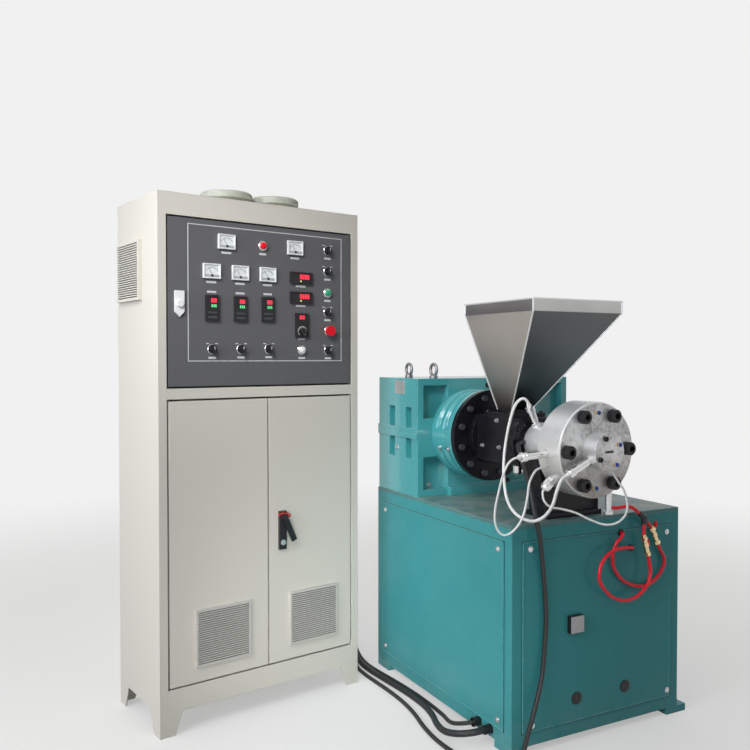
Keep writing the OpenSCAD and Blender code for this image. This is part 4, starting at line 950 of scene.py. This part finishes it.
# %% Ribbed boss
BOSS_R, BOSS_BACK, BOSS_LONG = 167, 587, 138
GROOVE = ((16, 0), (13, 0.8), (10, 3.5), (6.5, 9), (3, 12), (0, 13))  # half of it: offset, depth
PAD_FROM, PAD_TO, PAD_STEPS = 164, 206, 24
PAD_BACK, PAD_FRONT, PAD_INSIDE = 561, 475, 150
profile = [(0, 0), (BOSS_R - 3, 0), (BOSS_R - 1, 1.5), (BOSS_R, 5)]
for middle in (BOSS_LONG / 3, BOSS_LONG * 2 / 3):
    profile += [(BOSS_R - deep, middle - off) for off, deep in GROOVE]
    profile += [(BOSS_R - deep, middle + off) for off, deep in GROOVE[-2::-1]]
profile += [(BOSS_R, BOSS_LONG - 4), (BOSS_R - 1, BOSS_LONG - 1), (BOSS_R - 3, BOSS_LONG), (0, BOSS_LONG)]
pads = bmesh.new()
for hand in (1, -1):
    rings = []
    for k in range(PAD_STEPS + 1):
        turn = math.radians(PAD_FROM + k * (PAD_TO - PAD_FROM) / PAD_STEPS)
        rise = min(1, 5 * min(k, PAD_STEPS - k) / PAD_STEPS)
        outside = PAD_INSIDE + 0.5 + (BOSS_R - PAD_INSIDE) * rise
        section = ((PAD_INSIDE, PAD_FRONT), (outside, PAD_FRONT), (outside, PAD_BACK), (PAD_INSIDE, PAD_BACK))
        rings.append([pads.verts.new((AXIS_X + hand * r * math.cos(turn), y, AXIS_Z + r * math.sin(turn)))
                      for r, y in section])
    skin(pads, rings)
boss_piece = lathed("ribbed_boss", "teal_casting", profile, (AXIS_X, BOSS_BACK, AXIS_Z), FRONT, sides=96,
                    slot="teal_casting")
piece("boss_pads", pads, "teal_casting", slot="teal_casting")
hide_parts("output_boss")
print("boss profile:", len(profile), "points")

# %% [markdown]
# The feed block's flange and the hopper's seat carry black bolts, the gear housing has a few
# more on its face, and small plugs close the oil holes in the boss.

# %% Bolts of the drive and the feed block
FEED_R, FEED_TURNS = 88, (30, 150, 210, 270, 330)
SEAT_X, SEAT_Y = (163, 297), (229, 359)
NUTS_YZ = ((289, 1036), (376, 941), (275, 943))
UPPER_X, UPPER_Z, LOWER_X, LOWER_Z = (323, 420, 640), 1149, (420, 640), 769
PLUG_TURN, PLUG_Y = 196.5, (535, 473)
caps = seats("feed_block", REAR, around(FEED_R, FEED_TURNS, 60))
caps += seats("hopper_seat", DOWN, [(x, y, 1200) for x in SEAT_X for y in SEAT_Y])
grow("feed_bolts", fasteners, caps, "dark_steel", SOCKET_CAP, slot="dark_steel")
nuts = seats("feed_block", RIGHT, [(-100, y, z) for y, z in NUTS_YZ])
grow("feed_nuts", fasteners, nuts, "zinc", {**HEX, "Head Radius": 6.5, "Washer Radius": 8.0},
     slot="bright_steel")
face_bolts = seats("gear_housing_upper", REAR, [(x, 300, UPPER_Z) for x in UPPER_X])
face_bolts += seats("gear_housing_lower", REAR, [(x, 300, LOWER_Z) for x in LOWER_X])
grow("housing_bolts", fasteners, face_bolts, "dark_steel", HEX, slot="dark_steel")
plugs = [((x, y, z), (x - AXIS_X, 0, z - AXIS_Z))
         for at in PLUG_Y for x, y, z in around(BOSS_R, (PLUG_TURN,), at)]
grow("boss_plugs", fasteners, plugs, "zinc", SOCKET_CAP, slot="bright_steel")
joint = seats("gear_housing_lower", RIGHT, [(-200, 739, 908)])
joint += seats("gear_housing_lower", REAR, [(76, 300, LOWER_Z)])
grow("joint_bolts", fasteners, joint, "zinc", {**HEX, "Head Radius": 7.0, "Washer Radius": 9.0},
     slot="bright_steel")

# %% [markdown]
# The die's nose is held by black socket screws, and painted screw ends in white and blue show
# on the die's face.

# %% Die screws
NOSE_Y = -180
dots = [(230, -125, 1086), (222, -125, 851), (266, NOSE_Y, 990), (253, NOSE_Y, 929)]
grow("nose_screws", fasteners, [(p, FRONT) for p in around(44, (113, 210), NOSE_Y)], "dark_steel",
     {**SOCKET_CAP, "Head Radius": 8.0}, slot="dark_steel")
grow("white_screws", fasteners, [((x - 7, y, z), FRONT) for x, y, z in dots], "cream_paint", DOT)
grow("blue_screws", fasteners, [((x + 6.5, y, z - 1), FRONT) for x, y, z in dots], "tag_blue",
     {**DOT, "Head Radius": 6.5})

# %% [markdown]
# Thin plates make what is flat: seams, printed lines, dial faces and lit digits. The tree puts
# a cube on each spot and scales it by the spot's detail. First come the rubber seams that show
# round each panel of the base.

# %% Plate tree
plates, given, gives = shape_tree("plates", {})
unit = wire(plates, "GeometryNodeMeshCube", {"Size": (1.0, 1.0, 1.0)})
close(plates, given, gives, instances(given["Geometry"], unit, Scale=detail(plates)))


def lay(name, spots, wears, **more):
    """Plates on the spots, with all their edges sharp."""
    grow(name, plates, spots, wears, sharp=None, **more)


def frame_bars(y, thick, across, up, wide):
    """Four bars round an upright rectangle."""
    (a, b), (c, d) = across, up
    long, tall = (b - a + wide, thick, wide), (wide, thick, d - c - wide)
    return [(((a + b) / 2, y, c), long), (((a + b) / 2, y, d), long),
            ((a, y, (c + d) / 2), tall), ((b, y, (c + d) / 2), tall)]


def sideways(bar):
    """The same bar on a side instead of a front."""
    (x, y, z), (wide, thick, tall) = bar
    return (y, x, z), (thick, wide, tall)


# %% Rubber seams
SEAM_W, SEAM_T = 2.5, 1.2
SEAM_X, SEAM_Y, SEAM_Z = (39.5, 684.5), (39.5, 856.5), (66.5, 675.5)
LATCH_X, LATCH_Z = (221.6, 276.4), (363.6, 418.4)
LATCH_Y, LATCH_DEEP, LATCH_T = -11.5, 16, 1.4
seams = []
for y in (-SEAM_T / 2, BASE_D + SEAM_T / 2):
    seams += frame_bars(y, SEAM_T, SEAM_X, SEAM_Z, SEAM_W)
for x in (-SEAM_T / 2, BASE_W + SEAM_T / 2):
    seams += [sideways(bar) for bar in frame_bars(x, SEAM_T, SEAM_Y, SEAM_Z, SEAM_W)]
lay("panel_seams", seams, "black_plastic")
lay("latch_sides", frame_bars(LATCH_Y, LATCH_DEEP, LATCH_X, LATCH_Z, LATCH_T), "black_plastic")

# %% [markdown]
# Each panel is a sheet with its edges folded back, and the rounded folds catch the light.
# They are thin rods, sunk in the sheet for most of their thickness. Blank rubber grommets
# close the two holes low in the front panel.

# %% Folded edges and grommets
FOLD_R, FOLD_INSET, FOLD_OUT = 3.2, 3, 1.4
HOLES, HOLE_RIM = ((261, 142), (472, 142)), 22
GROMMET = [(0, -5), (16.4, -5), (16.4, 0), (21, 0), (21, 2), (18.5, 3.4), (14.5, 3.4), (13, 1.2), (0, 1.2)]


def outline(across, up, inset=0):
    """The corners of a rectangle, moved inwards."""
    (a, b), (c, d) = across, up
    return [(a + inset, c + inset), (b - inset, c + inset), (b - inset, d - inset), (a + inset, d - inset)]


def rods(shape, corners, radius):
    """Adds a straight rod along each side of a closed outline."""
    for a, b in zip(corners, corners[1:] + corners[:1]):
        sweep(shape, [Vector(a), Vector(b)], radius, sides=10)


folds, grommets = bmesh.new(), bmesh.new()
for y in (-FOLD_OUT, BASE_D + FOLD_OUT):
    rods(folds, [(x, y, z) for x, z in outline(SEAM_X, SEAM_Z, FOLD_INSET)], FOLD_R)
for x in (-FOLD_OUT, BASE_W + FOLD_OUT):
    rods(folds, [(x, y, z) for y, z in outline(SEAM_Y, SEAM_Z, FOLD_INSET)], FOLD_R)
piece("panel_folds", folds, "teal_sheet", slot="teal_paint")
for x, z in HOLES:
    beside = land("front_panel", (x + HOLE_RIM, -100, z), REAR)
    lathe(grommets, GROMMET, beside - Vector((HOLE_RIM, 0, 0)), FRONT)
piece("hole_grommets", grommets, "black_plastic", slot="black_rubber")
print("grommets:", len(HOLES))

# %% [markdown]
# A plain rating plate with four rivets sits high on the gear housing's left side.

# %% Rating plate
PLATE_T, PLATE_W, PLATE_H, RIVET_Y, RIVET_Z = 1.2, 76, 52, 34, 22
rating = land("gear_housing_upper", (-200, 724, 1142), RIGHT)
lay("rating_plate", [(rating - Vector((PLATE_T / 2, 0, 0)), (PLATE_T, PLATE_W, PLATE_H))], "plate_aluminium",
    slot="bright_plate")
rivets = [(rating + Vector((-PLATE_T, y, z)), LEFT) for y in (-RIVET_Y, RIVET_Y) for z in (-RIVET_Z, RIVET_Z)]
grow("rating_rivets", fasteners, rivets, "zinc",
     {**DOT, "Head Radius": 2.2, "Head Height": 1.4, "Washer Radius": 1.5})

# %% [markdown]
# The hopper is bent from sheet and welded along its corners. Ground weld beads overlap like
# coins that have been pushed over, so a bead is a small ball that repeats along the seam. The
# rim's upper edge is rolled over a rod.

# %% Hopper welds
THROAT_X, THROAT_Y, MOUTH_X, MOUTH_Y = (187, 273), (253, 335), (47, 413), (-40, 335)
THROAT_Z, MOUTH_Z, RIM_Z, RIM_R = 1073, 1402, 1441, 3
welds, given, gives = shape_tree("welds", {"Bead": 2.0, "Pitch": 3.0})
seam = given["Geometry"].into("GeometryNodeMeshToCurve", {})
even = seam.into("GeometryNodeResampleCurve", {"Length": given["Pitch"]}, mode="LENGTH")
ball = wire(welds, "GeometryNodeMeshUVSphere", {"Segments": 8, "Rings": 6, "Radius": given["Bead"]})
close(welds, given, gives, instances(even, ball))
corners, runs = [], []
for x_low, x_high in zip(THROAT_X, MOUTH_X):
    for y_low, y_high in zip(THROAT_Y, MOUTH_Y):
        first = len(corners)
        corners += [((x_low, y_low, THROAT_Z), UP), ((x_high, y_high, MOUTH_Z), UP),
                    ((x_high, y_high, RIM_Z), UP)]
        runs += [(first, first + 1), (first + 1, first + 2)]
grow("hopper_welds", welds, corners, "band_steel", {"Bead": 2.8}, edges=runs, slot="hopper_steel", sharp=60)
rolled = bmesh.new()
rods(rolled, [(x, y, RIM_Z - 1) for x, y in outline(MOUTH_X, MOUTH_Y)], RIM_R)
piece("hopper_rim", rolled, "band_steel", slot="hopper_steel")

# %% [markdown]
# ## Heater terminals
# Each lead ends at a bright plug: a hexagon nut against the band, a sleeve, a knurled collar
# and a white ceramic tip that the lead comes out of. Domed caps close two more terminals.

# %% Terminal plugs
PLUGS = ((183, -72.5, 150.3, 108), (114.6, 137, 67.3, 73), (205, -152.5, 58.3, 97.2))  # turn, y, foot, length
DOMES = (((AXIS_X - 111.5, -39, AXIS_Z - 100.4), (-0.743, 0, -0.669)), ((175, 202, 890), DOWN))
DOME = [(0, -5), (14, -5, "hex"), (14, 4, "hex"), (17, 5), (17, 24), (15.5, 31), (11, 36.5), (5, 39),
        (0, 39.4)]
sleeves, tips, domes = bmesh.new(), bmesh.new(), bmesh.new()
for turn, y, foot, long in PLUGS:
    away = Vector((math.cos(math.radians(turn)), 0, math.sin(math.radians(turn))))
    start = Vector((AXIS_X, y, AXIS_Z)) + foot * away
    lathe(sleeves, [(0, -4), (13, -4, "hex"), (13, 9, "hex"), (10, 10), (10, 14), (12.5, 15),
                    (12.5, long - 25), (15.5, long - 23), (15.5, long - 17), (14, long - 16),
                    (15.5, long - 15), (15.5, long - 6), (13, long - 4), (0, long - 4)], start, away)
    lathe(tips, [(0, long - 5), (8.5, long - 5), (8.5, long + 1), (7, long + 5), (5.6, long + 8),
                 (0, long + 8)], start, away)
for start, away in DOMES:
    lathe(domes, DOME, start, away)
sleeve_piece = piece("plug_sleeves", sleeves, "chrome", slot="chrome")
piece("plug_tips", tips, "ceramic")
piece("terminal_domes", domes, "chrome", slot="chrome")
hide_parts("heater_plugs")
print("plugs", len(PLUGS), "domes", len(DOMES))

# %% [markdown]
# ## The instrument panel
# All of this rides on the panel's own door. The places are those of the panel's drawing: x
# from the cabinet's left edge, z from the floor, and y = 0 at the panel's face.

# %% Places on the panel
METERS = ((245, 1652), (517, 1653), (189, 1549), (296, 1549), (404, 1550))
CONTROLLERS = ((190, 1425), (297, 1425), (405, 1427))
DISPLAYS = ((542, 1546), (542, 1475))
DRIVE = ((545, 1374),)
KNOBS = ((191, 1285), (300, 1286), (409, 1287), (658, 1654), (658, 1576), (658, 1425), (660, 1283))
BUTTONS = {"red": (386, 1650), "green": (658, 1497), "white": (546, 1284)}
STOP = (662, 1356)
PRINT_T, PRINT_Y, KNOB_Y = 0.5, -0.2, -22.2
SUNK_Y = -5  # the sunk face inside a meter's or controller's bezel
DIGIT_Y = SUNK_Y - 0.4
ON_PANEL = {"body": "instrument_panel", "frame_of": CABINET}


def bars(places, steps, rise, size, y=DIGIT_Y):
    """A row of equal plates at each place: steps lie across it, rise is the row's height."""
    return [((x + step, y, z + rise), size) for x, z in places for step in steps]


print("instruments:", len(METERS) + len(CONTROLLERS) + len(DISPLAYS) + len(DRIVE))

# %% Printed lines
CAPTIONS = ((METERS, -37, 36), (CONTROLLERS, 54, 34), (DISPLAYS, -30, 40), (DRIVE, -50, 30),
            (KNOBS, -29, 28), (BUTTONS.values(), -29, 28))  # places, rise, width
LINE_X, LINE_Z, LINE_W = (105, 720), (1245, 1702), 3
prints = frame_bars(PRINT_Y, PRINT_T, LINE_X, LINE_Z, LINE_W)
for places, rise, wide in CAPTIONS:
    prints += bars(places, (0,), rise, (wide, PRINT_T, 7), PRINT_Y)
prints += bars(KNOBS, (-17, 17), 19, (10, PRINT_T, 3), PRINT_Y)
prints += bars(KNOBS, (0,), 4, (2.4, PRINT_T, 11), KNOB_Y)
lay("panel_prints", prints, "print_white", **ON_PANEL)

# %% [markdown]
# A panel meter has a pale dial with a fan of ticks, a needle at rest, and a grey lower cover
# with a dark zero screw. The scale is a tree too: points on an arc, with a bar on each.

# %% Scale tree
TICK_T = 0.4
scales, given, gives = shape_tree("scales", {
    "Ticks": 11, "Radius": 25.0, "Tick Long": 5.0, "Tick Wide": 1.0, "From": 0.6, "Sweep": 1.94,
    "Needle": 24.0, "Needle At": 2.1})
at = wire(scales, "GeometryNodeInputIndex") * (given["Sweep"] / (given["Ticks"] - 1)) + given["From"]
tick = cube(scales, given["Tick Long"], given["Tick Wide"], TICK_T)
fan = wheel(scales, given["Ticks"], given["Radius"], at, tick)
needle = cube(scales, given["Needle"], given["Tick Wide"], TICK_T)
pivot = moved(needle, Translation=vector(scales, given["Needle"] * 0.5, z=0.5))
swung = moved(pivot, Rotation=vector(scales, z=given["Needle At"]))
upright = moved(joined(fan, swung), Rotation=(math.pi / 2, 0, 0))
close(scales, given, gives, instances(given["Geometry"], upright))

# %% Meters
DIAL_W = 54.6
lay("dial_faces", bars(METERS, (0,), 0, (DIAL_W, 0.8, 41.6), SUNK_Y - 0.3), "dial_face", **ON_PANEL)
grow("dial_scales", scales, bars(METERS, (0,), -12, UP, SUNK_Y - 0.9), "print_dark", sharp=None, **ON_PANEL)
lay("dial_covers", bars(METERS, (0,), -16.3, (DIAL_W, 2.4, 9), SUNK_Y - 1.4), "meter_grey", **ON_PANEL)
grow("zero_screws", fasteners, bars(METERS, (0,), -15, FRONT, SUNK_Y - 2.5), "black_plastic",
     {**DOT, "Head Radius": 4.2, "Head Height": 2.0}, **ON_PANEL)

# %% [markdown]
# The controllers, the two displays and the drive's keypad show lit digits as plain bars, with
# keys and a blank label strip under them.

# %% Lit digits and keys
red_bars = bars(CONTROLLERS, (-1, 6, 13), 25, (5.5, 1, 14))
red_bars += bars(DISPLAYS, (-2, 8.5, 19, 29.5), 4, (7.5, 1, 17))
red_bars += bars(DRIVE, (-6, 6), 29, (8, 1, 14))
lay("red_digits", red_bars, "lit_red", **ON_PANEL)
lay("green_digits", bars(CONTROLLERS, (-1, 6, 13), 7, (4.5, 1, 10)), "lit_green", **ON_PANEL)
lay("amber_lamps", bars(DISPLAYS, (-2,), -12, (5, 1, 5)), "lit_amber", **ON_PANEL)
keys = bars(CONTROLLERS, (-14, -4.7, 4.7, 14), -16, (6.5, 2.5, 6), SUNK_Y - 1)
keys += bars(CONTROLLERS, (0,), -32, (34, 1, 6))
lay("keys", keys, "slate_plastic", **ON_PANEL)
grow("drive_scale", scales, bars(DRIVE, (0,), -22, UP), "print_white",
     {"Ticks": 21, "Radius": 17.0, "Tick Long": 5.5, "Tick Wide": 2.2, "From": -0.8, "Sweep": 4.74,
      "Needle": 0.1}, sharp=None, **ON_PANEL)

# %% Buttons
BEZEL = [(0, -1), (17.2, -1), (17.2, 2), (16.2, 3), (0, 3)]
COLLAR = [(0, 0), (15, 0), (15, 4), (14, 5.5), (12.4, 5.5), (12, 5), (0, 5)]
LENS = [(0, 4), (12.2, 4), (12.2, 9), (10.6, 12.2), (6.5, 14), (0, 14.6)]
bezels = bmesh.new()
for x, z in (*BUTTONS.values(), STOP, *KNOBS):
    lathe(bezels, BEZEL, (x, 0, z), FRONT)
for colour, (x, z) in BUTTONS.items():
    lathe(bezels, COLLAR, (x, 0, z), FRONT)
    wears = "button_white" if colour == "white" else "signal_" + colour
    lathed(colour + "_button", wears, LENS, (x, 0, z), FRONT, **ON_PANEL)
bezel_piece = piece("button_bezels", bezels, "chrome", slot="chrome", **ON_PANEL)
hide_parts("push_buttons")
print("buttons:", list(BUTTONS))

# %% [markdown]
# ## Doors
# The door grilles have a filter mat behind their slots, darkened to stand in for the shade there: partly the
# mat, partly painted shade. Behind the side grille's slots a near-black sheet is painted shade of the
# cabinet's inside.

# %% Filter mats and painted shade behind the grilles
GRILLES = {"left_leaf": 125, "right_leaf": 491}
GRILLE_W, GRILLE_H, GRILLE_Z, GRILLE_RIM, SLOTS = 208, 196, 210, 8, 24
SIDE_W, SIDE_Y, SIDE_Z = 205, 140, 1452
MAT_Y, SIDE_MAT_X, MAT_T = -4.2, -7.2, 0.8


def slot_backings(start, wide, tall, low, y):
    """A dark plate behind each slot of a grille, for the darkened filter mats and for the painted-shade
    sheet.
    """
    pitch = (tall - 2 * GRILLE_RIM) / SLOTS
    return [((start + wide / 2, y, low + GRILLE_RIM + (i + 0.5) * pitch),
             (wide - 2 * GRILLE_RIM - 1, MAT_T, pitch / 2 - 0.6)) for i in range(SLOTS)]


for leaf, x in GRILLES.items():
    lay(leaf + "_mats", slot_backings(x, GRILLE_W, GRILLE_H, GRILLE_Z, MAT_Y), "shaded_filter_mat", body=leaf,
        frame_of=CABINET)
# A near-black sheet behind the side grille's slots: painted shade of the cabinet's inside.
side_shade_sheets = slot_backings(SIDE_Y, SIDE_W, SIDE_W, SIDE_Z, SIDE_MAT_X)
lay("side_shade_sheets", [sideways(mat) for mat in side_shade_sheets], "shade_and_seam_black", frame_of=CABINET)

# %% [markdown]
# The cabinet's back is one sheet, screwed on round its edge, with a thin seam.

# %% Back sheet
BACK_SEAM, BACK_SEAM_W, BACK_SCREW, BACK_END, BACK_ROWS = 24, 1.6, 46, 60, 5
back_seams = frame_bars(CAB_D + 0.1, 0.5, (BACK_SEAM, CAB_W - BACK_SEAM),
                        (CAB_FEET + BACK_SEAM, CAB_H - BACK_SEAM), BACK_SEAM_W)
lay("back_seams", back_seams, "shade_and_seam_black", frame_of=CABINET)
gap = (CAB_H - CAB_FEET - 2 * BACK_END) / (BACK_ROWS - 1)
back_screws = [((x, CAB_D, CAB_FEET + BACK_END + k * gap), REAR)
               for x in (BACK_SCREW, CAB_W - BACK_SCREW) for k in range(BACK_ROWS)]
grow("back_screws", fasteners, back_screws, "zinc",
     {**PAN_HEAD, "Head Radius": 5.0, "Head Height": 3.0, "Washer Radius": 7.0, "Washer Height": 1.0},
     slot="bright_steel", frame_of=CABINET)

# %% [markdown]
# The roof fans have a brim with fine upright ribs. A tree sets them on a circle, each turned
# to look outwards.

# %% Fan ribs
FANS_X, FANS_Y, BRIM_Z = (338, 535), 187, 1841
ribs, given, gives = shape_tree("ribs", {"Count": 72, "Radius": 94.0, "Deep": 1.6, "Wide": 3.6, "Tall": 19.0})
at = wire(ribs, "GeometryNodeInputIndex") * math.tau / given["Count"]
rib = cube(ribs, given["Deep"], given["Wide"], given["Tall"])
crown = wheel(ribs, given["Count"], given["Radius"], at, rib)
close(ribs, given, gives, instances(given["Geometry"], crown))
grow("fan_ribs", ribs, [((x, FANS_Y, BRIM_Z), UP) for x in FANS_X], "fan_cream", slot="fan_cream", sharp=None,
     frame_of=CABINET)

# %% [markdown]
# A red ring hangs on the handle of the right door, which has a small bright keyhole under its
# lever.

# %% Handle ring and keyhole
RING_MID, RING_R, RING_FLAT, RING_WIRE, RING_STEPS = Vector((463, -17, 690)), 22, 0.6, 2.6, 48
KEYHOLE = [(0, -1), (10, -1), (10, 2), (8.5, 3.2), (5, 3.2), (4.6, 2.4), (0, 2.4)]
flat_u, flat_v = Vector((1, 0, -0.25)).normalized(), Vector((0.1, -0.55, 0.4)).normalized()
turns = [math.tau * k / RING_STEPS for k in range(RING_STEPS + 1)]
hoop = [RING_MID + RING_R * (math.cos(t) * flat_u + RING_FLAT * math.sin(t) * flat_v) for t in turns]
band = bmesh.new()
sweep(band, hoop, RING_WIRE)
piece("handle_ring", band, "signal_red", body="right_leaf", slot="signal_red", frame_of=CABINET, sharp=None)
lathed("keyhole", "zinc", KEYHOLE, land("door_handle", (460, -200, 592), REAR, CABINET), FRONT,
       body="right_leaf", slot="bright_steel", frame_of=CABINET)
print("ring", RING_R, "mm")
